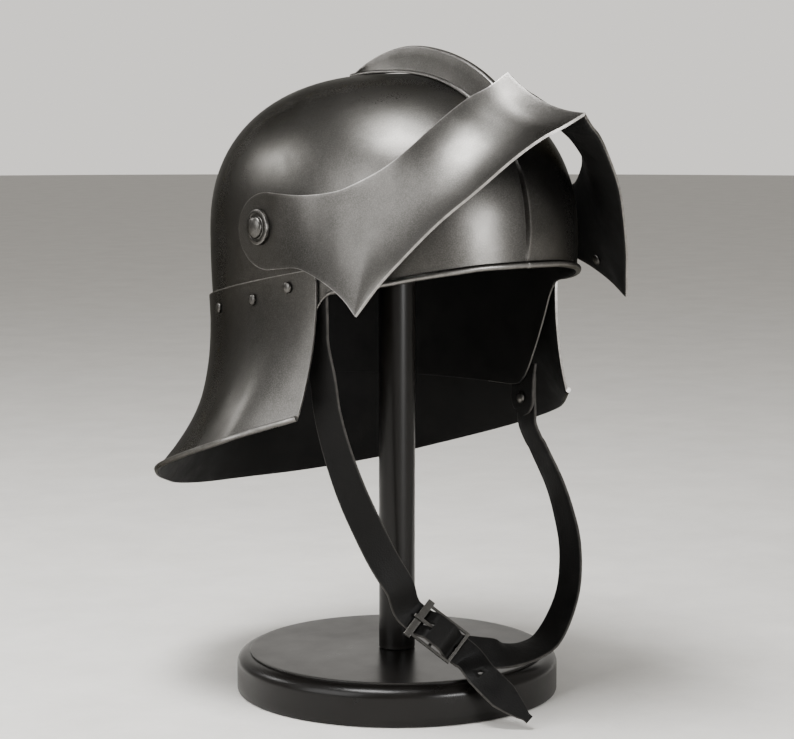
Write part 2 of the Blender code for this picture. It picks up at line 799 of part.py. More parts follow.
def buckleLevels():
    """Heights over the buckle's middle plane of the leather that passes its bars."""
    corner = 0.5 * math.hypot(thinBarWidth, buckleWall)
    eye = corner + turningGap + 0.5 * prongWall
    fold = corner + gap + 0.5 * foldWall
    over = max(eye + 0.5 * prongWall, fold + 0.5 * foldWall) + gap + 0.5 * strapWall
    under = -(0.5 * buckleWall + gap + 0.5 * strapWall)
    flap = under - 0.5 * strapWall - 1.5 * gap - 0.5 * foldWall
    return eye, fold, over, under, flap


def makeLongStrap(material):
    middle, run, side, face = buckleFrame()
    eye, fold, over, under, flap = buckleLevels()
    points = longStrapTop() + strapRoute(longRun)
    marks, places, runs, faces = strapSections(points, 0.0072, middle)
    along = (places - middle) @ run
    near = np.linalg.norm(places - middle, axis=1) < 1.4 * buckleLength
    for index in np.nonzero(near)[0]:
        reach = abs(along[index])
        lift = over + (under - over) * fade(reach, 0.16 * buckleLength, 0.41 * buckleLength)
        hold = 1.0 - fade(reach, 0.62 * buckleLength, 1.20 * buckleLength)
        straight = middle + run * along[index] + face * lift
        places[index] = places[index] * (1.0 - hold) + straight * hold
        faces[index] = faces[index] * (1.0 - hold) + face * hold
    runs, faces = strapDirections(places, faces)
    widths = endWidths(marks, True, 0.021)
    walls = [strapWall] * len(marks)
    strap = band("strap_long", marks, places, runs, faces, walls, widths, material)
    slot = middle - run * 0.265 * buckleLength
    sizes = (0.19 * buckleLength, prongWidth + 2 * turningGap, 6 * strapWall)
    cutters = [boxMesh("strap_slot_cutter", slot, (run, side, face), sizes, material)]
    slotAt = int(np.argmin(np.where(near, np.abs(along + 0.30 * buckleLength), 1.0)))
    for number in (1, 2):
        mark = marks[slotAt] + holePitch * number
        seat = np.array([np.interp(mark, marks, places[:, axis]) for axis in range(3)])
        axis = faces[int(np.argmin(np.abs(marks - mark)))]
        hole = [(holeRadius, -2 * strapWall), (holeRadius, 2 * strapWall)]
        name = "strap_hole_cutter_%d" % number
        cutters.append(turned(name, hole, seat, axis, material, 12))
    for cutter in cutters:
        cutThrough(strap, cutter)


def boxMesh(name, middle, axes, sizes, material):
    rings = []
    for end in (-0.5, 0.5):
        ring = []
        for first, second in ((-0.5, -0.5), (0.5, -0.5), (0.5, 0.5), (-0.5, 0.5)):
            shift = axes[0] * end * sizes[0] + axes[1] * first * sizes[1] + axes[2] * second * sizes[2]
            ring.append(middle + shift)
        rings.append(ring)
    return loft(name, rings, material, ends="ladder")


def makeShortStrap(material):
    middle, run, side, face = buckleFrame()
    eye, fold, over, under, flap = buckleLevels()
    lower = flap - foldWall - gap

    def local(along, across, up):
        return middle + (run * along + side * across) * buckleLength + face * up

    entry = [local(along, across, lower * share) for along, across, share in foldIn[:5]]
    points = shortStrapTop() + strapRoute(shortRun) + [(*place, *face) for place in entry]
    marks, places, runs, faces = strapSections(points, 0.0090)
    places, faces = list(places), list(faces)
    thin = 0.5 * (strapWall - foldWall)
    walls = [strapWall] * len(places)
    widths = endWidths(marks, True, 0.0)
    for index, mark in enumerate(marks):
        left = 1.0 - fade(marks[-1] - mark, 0.006, 0.020)
        walls[index] = strapWall + (foldWall - strapWall) * left
        widths[index] = widths[index] if mark < 0.05 else strapWidth
        places[index] = places[index] - faces[index] * thin * (1.0 - left) * (mark > 0.05)
    for along, across, share in foldIn[5:]:
        places.append(local(along, across, lower * share))
        faces.append(face)
    for turn in (-90, -135, 180, 135, 90, 45):
        out = run * math.cos(math.radians(turn)) + face * math.sin(math.radians(turn))
        places.append(middle + out * fold)
        faces.append(-out)
    for along, across, share in foldBack:
        places.append(local(along, across, flap * share))
        faces.append(-face)
    added = len(places) - len(walls)
    walls += [foldWall] * added
    for index in range(added):
        place = places[len(places) - added + index]
        away = (place - middle) @ run / buckleLength
        widths.append(foldWidth + (strapWidth - foldWidth) * fade(away, 0.25, 0.45))
    runs, faces = strapDirections(np.array(places), np.array(faces))
    strap = band("strap_short", marks, places, runs, faces, walls, widths, material)
    deep = 2 * (fold + 2 * foldWall)
    sizes = (1.10 * deep, prongWidth + 2 * turningGap, 1.45 * deep)
    cutThrough(strap, boxMesh("fold_slot_cutter", middle, (run, side, face), sizes, material))


def shortStrapTop():
    """Places on the outside of the right cheek's tab, where the short strap starts."""
    around = aroundFor(tabAhead)
    stand = 4 * gap + strapWall + 0.5 * strapWall
    rows = []
    for rise in (0.012, 0.000):
        height = browHeight - earDrop + rise
        place = skullAt(around, height, stand)
        rows.append((*place, *(-skullNormal(around, height))))
    return rows


def makeStrapTab(leather, metal):
    around = aroundFor(tabAhead)
    foot = browHeight - earDrop
    stand = gap + 0.0002 + 0.5 * strapWall
    points = []
    for share in (1.0, 0.65, 0.30, 0.0):
        height = foot + tabLength * (share - 0.58)
        place = skullAt(around, max(height, foot), stand)
        place[2] = height
        points.append((*place, *(-skullNormal(around, foot + 0.002))))
    marks, places, runs, faces = strapSections(points, 0.0040)
    widths = []
    for mark in marks:
        over = max(tabRadius - (marks[-1] - mark), 0.0)
        widths.append(max(2 * math.sqrt(max(tabRadius ** 2 - over ** 2, 0.0)), 0.5 * tabRadius))
    walls = [strapWall] * len(marks)
    band("strap_tab", marks, places, runs, faces, walls, widths, leather)
    index = int(np.argmin(np.abs(marks - (marks[-1] - tabRadius))))
    seat = places[index] + faces[index] * (0.5 * strapWall + gap)
    profile = domeProfile(strapRivetRadius, strapRivetHeight, 3)
    turned("strap_rivet_right", profile, seat, faces[index], metal, 12)


def makeLeftStrapRivet(metal):
    place = np.array(longStrapTop()[1])
    inward = -place[3:]
    seat = place[:3] + inward * (0.5 * strapWall + gap)
    profile = domeProfile(strapRivetRadius, strapRivetHeight, 3)
    turned("strap_rivet_left", profile, seat, inward, metal, 12)


def makeBuckle(metal):
    """Flat frame with a wide front bar, a middle bar and a rear bar, and its prong."""
    middle, run, side, face = buckleFrame()
    half = 0.5 * buckleLength
    wide = 0.5 * buckleWidth
    reach = 0.5 * frontBarReach
    thin = 0.5 * thinBarWidth
    front = 0.5 * frontBarWidth
    alongCuts = [-half - front, -half + front, -thin, thin, half - thin, half + thin]
    acrossCuts = [-reach, -wide, -wide + railWidth, wide - railWidth, wide, reach]
    filled = {(0, j) for j in range(5)} | {(2, 2), (4, 2)}
    filled |= {(i, j) for i in range(1, 5) for j in (1, 3)}
    mesh = bmesh.new()
    corners = {}

    def corner(i, j, up):
        if (i, j, up) not in corners:
            place = middle + run * alongCuts[i] + side * acrossCuts[j] + face * up * buckleWall
            corners[(i, j, up)] = mesh.verts.new(tuple(place))
        return corners[(i, j, up)]

    for i, j in filled:
        square = [(i, j), (i + 1, j), (i + 1, j + 1), (i, j + 1)]
        for up in (-0.5, 0.5):
            mesh.faces.new([corner(*spot, up) for spot in square])
        beside = [(i, j - 1), (i + 1, j), (i, j + 1), (i - 1, j)]
        for number, other in enumerate(beside):
            if other not in filled:
                first, last = square[number], square[(number + 1) % 4]
                wall = [corner(*first, -0.5), corner(*last, -0.5), corner(*last, 0.5)]
                mesh.faces.new(wall + [corner(*first, 0.5)])
    bmesh.ops.recalc_face_normals(mesh, faces=mesh.faces)
    addObject("buckle_frame", mesh, metal)
    eye, fold, over, under, flap = buckleLevels()
    level = 0.5 * buckleWall + gap + 0.5 * prongWall
    turns = np.radians((-150, -105, -60, -15, 30, 75, 110))
    path = [(eye * math.cos(turn), eye * math.sin(turn)) for turn in turns]
    path += [(-0.5 * half, level), (-half, level), (-half - 0.8 * frontBarWidth, level - gap)]
    steps = np.gradient(np.array(path), axis=0)
    rings = []
    for (along, up), step in zip(path, steps):
        step = step / np.linalg.norm(step)
        ring = []
        for out, lift in ((1, 1), (-1, 1), (-1, -1), (1, -1)):
            thick = lift * 0.5 * prongWall
            place = run * (along - step[1] * thick) + face * (up + step[0] * thick)
            ring.append(middle + place + side * out * 0.5 * prongWidth)
        rings.append(ring)
    loft("buckle_prong", rings, metal, ends="ladder")


def makeFoldRivet(metal):
    middle, run, side, face = buckleFrame()
    eye, fold, over, under, flap = buckleLevels()
    up = flap + 0.5 * foldWall + gap
    seat = middle + run * 0.305 * buckleLength + face * up
    profile = domeProfile(foldRivetRadius, foldRivetHeight, 3)
    turned("fold_rivet", profile, seat, face, metal, 10)


def makeStand(material):
    inner = baseRadius - baseShoulder
    profile = [
        (baseRadius - 0.0015, 0.0), (baseRadius, 0.0015), (baseRadius, baseThickness - baseShoulder),
    ]
    drop = baseThickness - baseStepDepth
    for angle in (30, 60, 90):
        out = baseShoulder * (1 - math.cos(math.radians(90 - angle)))
        rise = baseShoulder - baseStepDepth
        turn = math.radians(angle)
        profile.append((inner + baseShoulder * math.cos(turn), drop - rise + rise * math.sin(turn)))
    profile += [(inner, baseThickness - 0.0004), (inner - 0.0006, baseThickness)]
    turned("stand_base", profile, (0, 0, 0), (0, 0, 1), material, 40)
    headFoot = innerCrown(headRadius) - headDepth
    post = [(postRadius, baseThickness + gap), (postRadius, headFoot - gap)]
    turned("stand_post", post, (0, 0, 0), (0, 0, 1), material, 24)
    head = [(headRadius * 0.60, headFoot), (headRadius, headFoot + 0.25 * headDepth)]
    head += [(headRadius * share, innerCrown(headRadius * share)) for share in (1.0, 0.75, 0.45, 0.15)]
    turned("stand_head", head, (0, 0, 0), (0, 0, 1), material, 18)


def innerCrown(radius):
    """Height at which the stand's head meets the skull's inner face, with its fit."""
    share = (radius + headFit) / (skullHalfWidth - skullWall)
    rise = crownHeight - skullWall - waistHeight
    return waistHeight + rise * (1.0 - share ** domePower) ** (1.0 / domePower) - headFit


def build():
    removeOldObjects()
    steel = finish("blackened_steel", (0.115, 0.112, 0.108), 0.34, 1.0)
    bright = finish("worn_steel", (0.20, 0.195, 0.19), 0.30, 1.0)
    leather = finish("black_leather", (0.022, 0.021, 0.020), 0.55, 0.0)
    buckleMetal = finish("buckle_steel", (0.16, 0.155, 0.15), 0.38, 1.0)
    standPaint = finish("black_lacquer", (0.016, 0.016, 0.016), 0.30, 0.0)
    skull = makeSkull(steel)
    makeComb(steel)
    makeGuard(steel)
    makeNeckRivets(bright)
    pivotCutter = makeVisor(steel)
    cutThrough(skull, pivotCutter)
    makePivots(steel, bright)
    makeVisorStud(bright)
    makeLongStrap(leather)
    makeShortStrap(leather)
    makeStrapTab(leather, buckleMetal)
    makeLeftStrapRivet(buckleMetal)
    makeBuckle(buckleMetal)
    makeFoldRivet(buckleMetal)
    makeStand(standPaint)


build()
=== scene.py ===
# Visored sallet on its turned stand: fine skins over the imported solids, finishes, floor and light.
# Metres, Z up. The helmet faces -Y and the wearer's right side is at -X.

import math

import bmesh
import bpy
import numpy as np
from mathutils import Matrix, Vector


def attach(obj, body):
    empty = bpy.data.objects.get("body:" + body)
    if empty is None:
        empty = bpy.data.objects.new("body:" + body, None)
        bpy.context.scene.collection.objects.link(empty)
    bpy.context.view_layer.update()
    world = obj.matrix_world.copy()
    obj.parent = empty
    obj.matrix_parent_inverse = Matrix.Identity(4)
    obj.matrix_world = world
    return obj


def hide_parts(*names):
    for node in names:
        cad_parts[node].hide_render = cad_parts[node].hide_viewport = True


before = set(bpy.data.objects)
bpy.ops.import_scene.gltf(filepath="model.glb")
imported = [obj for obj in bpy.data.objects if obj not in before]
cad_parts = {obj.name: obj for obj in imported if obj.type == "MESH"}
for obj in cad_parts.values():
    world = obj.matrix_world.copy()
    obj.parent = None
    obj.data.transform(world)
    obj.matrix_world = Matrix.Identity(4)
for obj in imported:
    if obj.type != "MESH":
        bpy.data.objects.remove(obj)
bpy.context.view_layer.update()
print("frame loaded:", len(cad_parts), "nodes")

# camera as the photograph has it: a long lens, a little above the brow
view = {
    "place": (-0.888, -1.1366, 0.372),
    "turn": -38.0,
    "down": 6.8,
    "lens": 106.5,
}
camera = bpy.data.objects.new("camera", bpy.data.cameras.new("camera"))
camera.data.lens = view["lens"]
camera.data.sensor_width = 36.0
camera.data.clip_end = 50.0
camera.location = view["place"]
camera.rotation_euler = (math.radians(90 - view["down"]), 0.0, math.radians(view["turn"]))
bpy.context.scene.collection.objects.link(camera)
bpy.context.scene.camera = camera


# finishes

# Sets a node's inputs; a value that is another node's output is linked.
def fill(tree, node, inputs):
    for name, value in inputs.items():
        if isinstance(value, bpy.types.NodeSocket):
            tree.links.new(value, node.inputs[name])
        else:
            node.inputs[name].default_value = value
    return node


def nodesFor(name):
    material = bpy.data.materials.new(name)
    material.use_nodes = True
    tree = material.node_tree
    return material, tree, tree.nodes.new("ShaderNodeTexCoord").outputs["Object"]


def noiseNode(tree, where, scale, detail, roughness, stretch=None):
    if stretch:
        turn = tree.nodes.new("ShaderNodeMapping")
        where = fill(tree, turn, {"Scale": stretch, "Vector": where}).outputs["Vector"]
    noise = tree.nodes.new("ShaderNodeTexNoise")
    inputs = {"Scale": scale, "Detail": detail, "Roughness": roughness, "Vector": where}
    return fill(tree, noise, inputs).outputs["Fac"]


def rampNode(tree, source, *stops):
    ramp = tree.nodes.new("ShaderNodeValToRGB")
    while len(ramp.color_ramp.elements) < len(stops):
        ramp.color_ramp.elements.new(0.5)
    for element, (place, colour) in zip(ramp.color_ramp.elements, stops):
        element.position = place
        element.color = (*colour, 1.0)
    return fill(tree, ramp, {"Fac": source}).outputs["Color"]


def rangeNode(tree, source, low, high, fromLow=0.3, fromHigh=0.7):
    spread = tree.nodes.new("ShaderNodeMapRange")
    inputs = {"Value": source, "From Min": fromLow, "From Max": fromHigh, "To Min": low, "To Max": high}
    return fill(tree, spread, inputs).outputs["Result"]


def mixNode(tree, factor, first, second):
    mix = tree.nodes.new("ShaderNodeMix")
    mix.data_type = "RGBA"
    return fill(tree, mix, {"Factor": factor, "A": first, "B": second}).outputs["Result"]


def mathNode(tree, kind, first, second):
    node = tree.nodes.new("ShaderNodeMath")
    node.operation = kind
    return fill(tree, node, {0: first, 1: second}).outputs[0]


def bumpNode(tree, heights):
    below = {}
    for height, strength, distance in heights:
        bump = tree.nodes.new("ShaderNodeBump")
        fill(tree, bump, {"Height": height, "Strength": strength, "Distance": distance, **below})
        below = {"Normal": bump.outputs["Normal"]}
    return below["Normal"]


# edge values kept on each mesh: rubbed bright wear, and painted highlight lines along beads and edges
def wearAndGlintNode(tree):
    wornAndGlint = tree.nodes.new("ShaderNodeAttribute")
    wornAndGlint.attribute_name = "edgeWearAndGlint"
    return wornAndGlint.outputs["Fac"]


# Fills the shader: colour, roughness and bumps, then the look's single values.
def shade(tree, colour, rough, heights, values):
    inputs = {"Base Color": colour, "Roughness": rough, "Normal": bumpNode(tree, heights), **values}
    fill(tree, tree.nodes["Principled BSDF"], inputs)


def toned(colour, share):
    return tuple(share * part for part in colour)


# blackened steel: dark oxide with a fine grain, rubbed bright along its edges, where the edge values also
# paint highlight lines on beads and edges
steelLook = {
    "dark": (0.062, 0.060, 0.056),
    "middle": (0.100, 0.096, 0.090),
    "light": (0.146, 0.141, 0.133),
    "edge": (0.52, 0.50, 0.48),
    "roughness": (0.41, 0.28),
    "clouds": 26.0,
    "patches": 210.0,
    "grain": 1300.0,
    "dents": 22.0,
    "shader": {"Metallic": 1.0, "Specular Tint": (0.22, 0.22, 0.21, 1.0)},
}


def steelFinish(name, look, lift=1.0, wearAndGlintShare=1.0):
    material, tree, where = nodesFor(name)
    clouds = noiseNode(tree, where, look["clouds"], 5.0, 0.6)
    grain = noiseNode(tree, where, look["grain"], 2.0, 0.6)
    dents = noiseNode(tree, where, look["dents"], 1.5, 0.4)
    patches = noiseNode(tree, where, look["patches"], 4.0, 0.65)
    dark, middle, light = [toned(look[key], lift) for key in ("dark", "middle", "light")]
    colour = rampNode(tree, clouds, (0.30, dark), (0.52, middle), (0.74, light))
    speck = rampNode(tree, grain, (0.36, toned(dark, 0.85)), (0.64, light))
    colour = mixNode(tree, rangeNode(tree, grain, 0.24, 0.50), colour, speck)
    # pale bare metal for the edge values: rubbed wear, and the painted highlight lines
    bareAndGlint = rampNode(tree, grain, (0.2, toned(look["edge"], 0.75)), (0.8, look["edge"]))
    wornAndGlint = rangeNode(tree, patches, 0.45 * wearAndGlintShare, wearAndGlintShare)
    colour = mixNode(tree, mathNode(tree, "MULTIPLY", wearAndGlintNode(tree), wornAndGlint), colour, bareAndGlint)
    rough, fine = rangeNode(tree, clouds, *look["roughness"]), rangeNode(tree, grain, -0.03, 0.05)
    rough = mathNode(tree, "ADD", rough, fine)
    shade(tree, colour, rough, [(dents, 0.10, 0.004), (grain, 0.24, 0.00025)], look["shader"])
    return material


# the black inside of the plates, rough from the fire; its near-black colour is partly painted shade for the
# hollow of the helmet
insideShadeLook = {
    "dark": (0.003, 0.003, 0.003),
    "light": (0.008, 0.0078, 0.0075),
    "edge": ((0.10, 0.098, 0.094), (0.20, 0.196, 0.190)),
    "roughness": (0.60, 0.85),
    "shader": {"Specular IOR Level": 0.10},
}


def insideShadeFinish(name, look):
    material, tree, where = nodesFor(name)
    scale = noiseNode(tree, where, 70.0, 5.0, 0.6)
    grain = noiseNode(tree, where, 900.0, 3.0, 0.6)
    colour = rampNode(tree, scale, (0.3, look["dark"]), (0.7, look["light"]))
    edge = rampNode(tree, grain, (0.2, look["edge"][0]), (0.8, look["edge"][1]))
    colour = mixNode(tree, wearAndGlintNode(tree), colour, edge)
    rough = rangeNode(tree, scale, *look["roughness"])
    shade(tree, colour, rough, [(scale, 0.15, 0.001), (grain, 0.3, 0.0003)], look["shader"])
    return material


# black strap leather with a close grain and paler cut edges
leatherLook = {
    "dark": (0.0022, 0.0021, 0.0020),
    "light": (0.0052, 0.0049, 0.0046),
    "edge": (0.090, 0.085, 0.079),
    "roughness": (0.46, 0.64),
    "pebble": 950.0,
    "shader": {"Specular IOR Level": 0.13},
}


def leatherFinish(name, look):
    material, tree, where = nodesFor(name)
    clouds = noiseNode(tree, where, 60.0, 4.0, 0.6)
    creases = noiseNode(tree, where, 240.0, 3.0, 0.5)
    cells = tree.nodes.new("ShaderNodeTexVoronoi")
    pebble = fill(tree, cells, {"Scale": look["pebble"], "Vector": where}).outputs["Distance"]
    colour = rampNode(tree, clouds, (0.3, look["dark"]), (0.7, look["light"]))
    scuff = rampNode(tree, creases, (0.3, toned(look["edge"], 0.5)), (0.7, look["edge"]))
    colour = mixNode(tree, wearAndGlintNode(tree), colour, scuff)
    rough = rangeNode(tree, clouds, *look["roughness"])
    shade(tree, colour, rough, [(creases, 0.18, 0.0006), (pebble, 0.35, 0.0003)], look["shader"])
    return material


# black satin lacquer over turned wood, with faint turning rings
lacquerLook = {
    "dark": (0.0030, 0.0026, 0.0023),
    "light": (0.0062, 0.0053, 0.0046),
    "dust": (0.022, 0.021, 0.020),
    "edge": ((0.014, 0.013, 0.012), (0.030, 0.029, 0.027)),
    "roughness": (0.26, 0.38),
    "shader": {"Specular IOR Level": 0.20, "Coat Weight": 0.08, "Coat Roughness": 0.22},
}


def lacquerFinish(name, look):
    material, tree, where = nodesFor(name)
    clouds = noiseNode(tree, where, 18.0, 5.0, 0.6)
    dust = noiseNode(tree, where, 1600.0, 2.0, 0.7)
    rings = noiseNode(tree, where, 9.0, 2.0, 0.5, stretch=(1.0, 1.0, 22.0))
    colour = rampNode(tree, clouds, (0.3, look["dark"]), (0.7, look["light"]))
    pale = rampNode(tree, dust, (0.62, look["light"]), (0.80, look["dust"]))
    colour = mixNode(tree, rangeNode(tree, dust, 0.0, 0.5, 0.62, 0.8), colour, pale)
    wornAndGlint = rampNode(tree, dust, (0.3, look["edge"][0]), (0.7, look["edge"][1]))
    colour = mixNode(tree, wearAndGlintNode(tree), colour, wornAndGlint)
    rough = rangeNode(tree, clouds, *look["roughness"])
    shade(tree, colour, rough, [(rings, 0.04, 0.001), (dust, 0.08, 0.0001)], look["shader"])
    return material


plateSteel = steelFinish("blackenedSteel", steelLook)
rivetSteel = steelFinish("rivetSteel", steelLook, 0.85, wearAndGlintShare=0.35)
buckleSteel = steelFinish("buckleSteel", steelLook, 1.00, wearAndGlintShare=0.50)
plateInsideShade = insideShadeFinish("blackenedInsideShade", insideShadeLook)
strapLeather = leatherFinish("strapLeather", leatherLook)
standLacquer = lacquerFinish("standLacquer", lacquerLook)
print("finishes ready")


# helpers for the skins

# Value on a cubic run between two places with their slopes.
def cubic(share, first, leave, last, arrive):
    square, cube = share ** 2, share ** 3
    return (
        (2 * cube - 3 * square + 1) * first + (cube - 2 * square + share) * leave
        + (3 * square - 2 * cube) * last + (cube - square) * arrive
    )


# Smooth curve through table rows; the broken columns turn sharply at the corner row.
def smoothRun(rows, at, corner=None, broken=()):
    table = np.array(rows, float)
    place = min(max(at, 0.0), len(table) - 1.0)
    low = min(int(place), len(table) - 2)

    def slope(row, side):
        before = table[max(row - 1, 0)]
        after = table[min(row + 1, len(table) - 1)]
        middle = (after - before) / (2.0 if 0 < row < len(table) - 1 else 1.0)
        if corner == row:
            oneSided = table[row] - before if side < 0 else after - table[row]
            for column in broken:
                middle[column] = oneSided[column]
        return middle

    return cubic(place - low, table[low], slope(low, 1), table[low + 1], slope(low + 1, -1))


# Value in the second column at a key in the first, on a smooth monotone run.
def smoothColumn(rows, key):
    keys, values = np.array(rows, float).T
    spans = np.diff(keys)
    steps = np.diff(values) / spans
    slopes = np.zeros(len(keys))
    for row in range(1, len(keys) - 1):
        if steps[row - 1] * steps[row] > 0:
            slopes[row] = 2 * steps[row - 1] * steps[row] / (steps[row - 1] + steps[row])
    key = min(max(key, keys[0]), keys[-1])
    low = min(int(np.searchsorted(keys, key, side="right")) - 1, len(keys) - 2)
    leave, arrive = spans[low] * slopes[low], spans[low] * slopes[low + 1]
    return cubic((key - keys[low]) / spans[low], values[low], leave, values[low + 1], arrive)


def fade(value, start, end):
    share = min(max((value - start) / (end - start), 0.0), 1.0)
    return share * share * (3 - 2 * share)


def unit(vector):
    return vector / np.linalg.norm(vector)


# Several values of a piece by their names.
def pick(shape, names):
    return [shape[name] for name in names.split()]


def power(value, exponent):
    return math.copysign(abs(value) ** exponent, value)


# A skin lofted through rings, its ends closed by a fan or a ladder, or joined to each other.
# Wear holds one value a point, rubbed bright edges with painted highlight lines along them, and inside picks
# the faces with the second finish, the near-black one with painted shade.
def skin(name, rings, finishes, ends="fan", inside=None, wearAndGlint=None, sharpAngle=32.0):
    mesh = bmesh.new()
    rows = [[mesh.verts.new(tuple(point)) for point in ring] for ring in rings]
    count = len(rows[0])
    for first in range(len(rows) if ends == "joined" else len(rows) - 1):
        near, far = rows[first], rows[(first + 1) % len(rows)]
        for place in range(count):
            after = (place + 1) % count
            face = mesh.faces.new((near[place], near[after], far[after], far[place]))
            if inside is not None and inside(first, place):
                face.material_index = 1
    for ring, points in ((rows[0], rings[0]), (rows[-1], rings[-1])):
        if ends == "fan":
            middle = mesh.verts.new(tuple(np.mean(np.array(points), axis=0)))
            for place in range(count):
                mesh.faces.new((ring[place], ring[(place + 1) % count], middle))
        elif ends == "ladder":
            for place in range(count // 2 - 1):
                far = count - 1 - place
                mesh.faces.new((ring[place], ring[place + 1], ring[far - 1], ring[far]))
    bmesh.ops.recalc_face_normals(mesh, faces=mesh.faces)
    data = bpy.data.meshes.new(name)
    mesh.to_mesh(data)
    mesh.free()
    for finish in finishes:
        data.materials.append(finish)
    values = np.zeros(len(data.vertices), np.float32)
    if wearAndGlint is not None:
        flat = np.array(wearAndGlint, np.float32).ravel()
        values[:len(flat)] = flat
    data.attributes.new("edgeWearAndGlint", "FLOAT", "POINT").data.foreach_set("value", values)
    data.shade_smooth()
    data.set_sharp_from_angle(angle=math.radians(sharpAngle))
    item = bpy.data.objects.new(name, data)
    bpy.context.scene.collection.objects.link(item)
    return item


# A turned form; the profile's rows are radius, distance along the axis and, if any, wear with painted
# highlight.
def turned(name, profile, seat, axis, finish, sides, ends="fan"):
    along = unit(np.array(axis, float))
    across = unit(np.cross((0.0, 0.0, 1.0) if abs(along[2]) < 0.9 else (1.0, 0.0, 0.0), along))
    other = np.cross(along, across)
    angles = [2 * math.pi * side / sides for side in range(sides)]
    outs = [across * math.cos(angle) + other * math.sin(angle) for angle in angles]
    rings = [[np.array(seat, float) + along * row[1] + out * row[0] for out in outs] for row in profile]
    wearAndGlint = [[row[2] if len(row) > 2 else 0.0] * sides for row in profile]
    return skin(name, rings, [finish], ends=ends, wearAndGlint=wearAndGlint)


def domeRows(radius, height, rows=9, wearAndGlint=0.5):
    edge = height * 0.25
    profile = [(radius, 0.0, 0.0), (radius, edge, 0.15)]
    for row in range(1, rows):
        angle = 0.5 * math.pi * row / rows
        out, up = radius * math.cos(angle), edge + (height - edge) * math.sin(angle)
        profile.append((out, up, wearAndGlint * math.sin(angle) ** 3))
    return profile


# cuts the tools out of an item's mesh for good
def cutOut(item, tools):
    for tool in tools:
        cut = item.modifiers.new("cut", "BOOLEAN")
        cut.operation = "DIFFERENCE"
        cut.solver = "EXACT"
        cut.object = tool
    graph = bpy.context.evaluated_depsgraph_get()
    made = bpy.data.meshes.new_from_object(item.evaluated_get(graph))
    item.modifiers.clear()
    item.data = made
    for tool in tools:
        bpy.data.objects.remove(tool, do_unlink=True)


def dress(item, body, node):
    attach(item, body)
    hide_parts(node)


fits = {"gap": 0.0003, "turning": 0.0004}


# skull: the bowl with its front crease and the rolled edge round the face
skullShape = {
    "halfWidth": 0.0968,
    "front": 0.1210,
    "rear": 0.1406,
    "crown": 0.3816,
    "waist": 0.283,
    "brow": 0.272,
    "earDrop": 0.087,
    "planPower": 2.13,
    "domePower": 2.31,
    "footTuck": 0.065,
    "footEase": 0.20,
    "creaseHeight": 0.0034,
    "creaseSpread": 24.0,
    "creaseFade": (0.040, 0.062),
    "creaseFoot": 0.020,
    "wall": 0.0016,
    "bead": 0.0021,
}

# angle round from the front in degrees, drop of the rim as a share of skullShape["earDrop"]
rimRun = [
    (0, 0.000), (14, 0.006), (27, 0.035), (37, 0.066), (47, 0.107), (57, 0.145),
    (64, 0.172), (68, 0.205), (71.5, 0.290), (75, 0.500), (79, 0.750), (82, 0.915),
    (85, 0.985), (90, 1.000), (180, 1.000),
]

# Turn from the front in degrees, the same on both sides.
def turnFrom(around):
    return abs((around + 180.0) % 360.0 - 180.0)


# Share of the skull's full plan size at a height.
def skullScale(height, offset=0.0):
    waist, ease, dome = pick(skullShape, "waist footEase domePower")
    if height <= waist:
        down = (waist - height) / (waist - skullShape["brow"] + skullShape["earDrop"])
        below = max(down - 1.0, 0.0)
        tuck = min(down, 1.0) ** 2 + 2 * ease * (1.0 - math.exp(-below / ease))
        return 1.0 - skullShape["footTuck"] * tuck
    rise = (height - waist) / (skullShape["crown"] + offset - waist)
    return max(1.0 - min(rise, 1.0) ** dome, 0.0) ** (1.0 / dome)


# How far the front crease stands out of the skull's round front.
def creaseAt(around, height):
    waist, brow = skullShape["waist"], skullShape["brow"]
    spread = max(0.0, 1.0 - abs(around) / skullShape["creaseSpread"])
    upper = 1.0 - fade(height, *[waist + rise for rise in skullShape["creaseFade"]])
    lower = 0.30 + 0.70 * fade(height, brow, brow + skullShape["creaseFoot"])
    return skullShape["creaseHeight"] * spread * upper * lower


# Point on the skull's outer face, moved out by offset; around is in degrees.
def skullAt(around, height, offset=0.0):
    angle, scale = math.radians(around), skullScale(height, offset)
    length = skullShape["front"] if math.cos(angle) > 0 else skullShape["rear"]
    bend = 2 / skullShape["planPower"]
    out = (skullShape["halfWidth"] + offset) * power(math.sin(angle), bend) * scale
    back = -(length + offset) * power(math.cos(angle), bend) * scale
    return np.array((out, back - creaseAt(around, height), height))


# Outward direction of the skull's face.
def skullNormal(around, height):
    turn, step = 0.4, 0.0008
    run = skullAt(around + turn, height) - skullAt(around - turn, height)
    rise = skullAt(around, height + step) - skullAt(around, height - step)
    normal = unit(np.cross(run, rise))
    return normal if normal[:2] @ skullAt(around, height)[:2] > 0 else -normal


# Angle round the skull at which its widest outline is this far ahead of the axis.
def aroundFor(ahead):
    length = skullShape["front"] if ahead > 0 else skullShape["rear"]
    share = power(ahead / length, skullShape["planPower"] / 2)
    return math.degrees(math.acos(min(max(share, -1.0), 1.0)))


def rimHeight(around):
    return skullShape["brow"] - skullShape["earDrop"] * smoothColumn(rimRun, turnFrom(around))


# Radius of the rolled edge, which thins to the plain edge behind the ears.
def rimRadius(around):
    plain = 0.5 * skullShape["wall"]
    return plain + (skullShape["bead"] - plain) * (1.0 - fade(turnFrom(around), 62.0, 69.0))


# Section of a rolled edge, from a plate's outer face round to its inner face.
def rolledEdge(edge, normal, run, radius, wall, steps):
    down = unit(np.cross(unit(run), normal))
    if down[2] > 0:
        down = -down
    middle = edge + normal * (radius - wall)
    start = -math.acos(min(max((wall - radius) / radius, -1.0), 1.0))
    angles = [start + (math.pi - start) * step / steps for step in range(steps + 1)]
    return [middle + radius * (normal * math.cos(angle) + down * math.sin(angle)) for angle in angles]


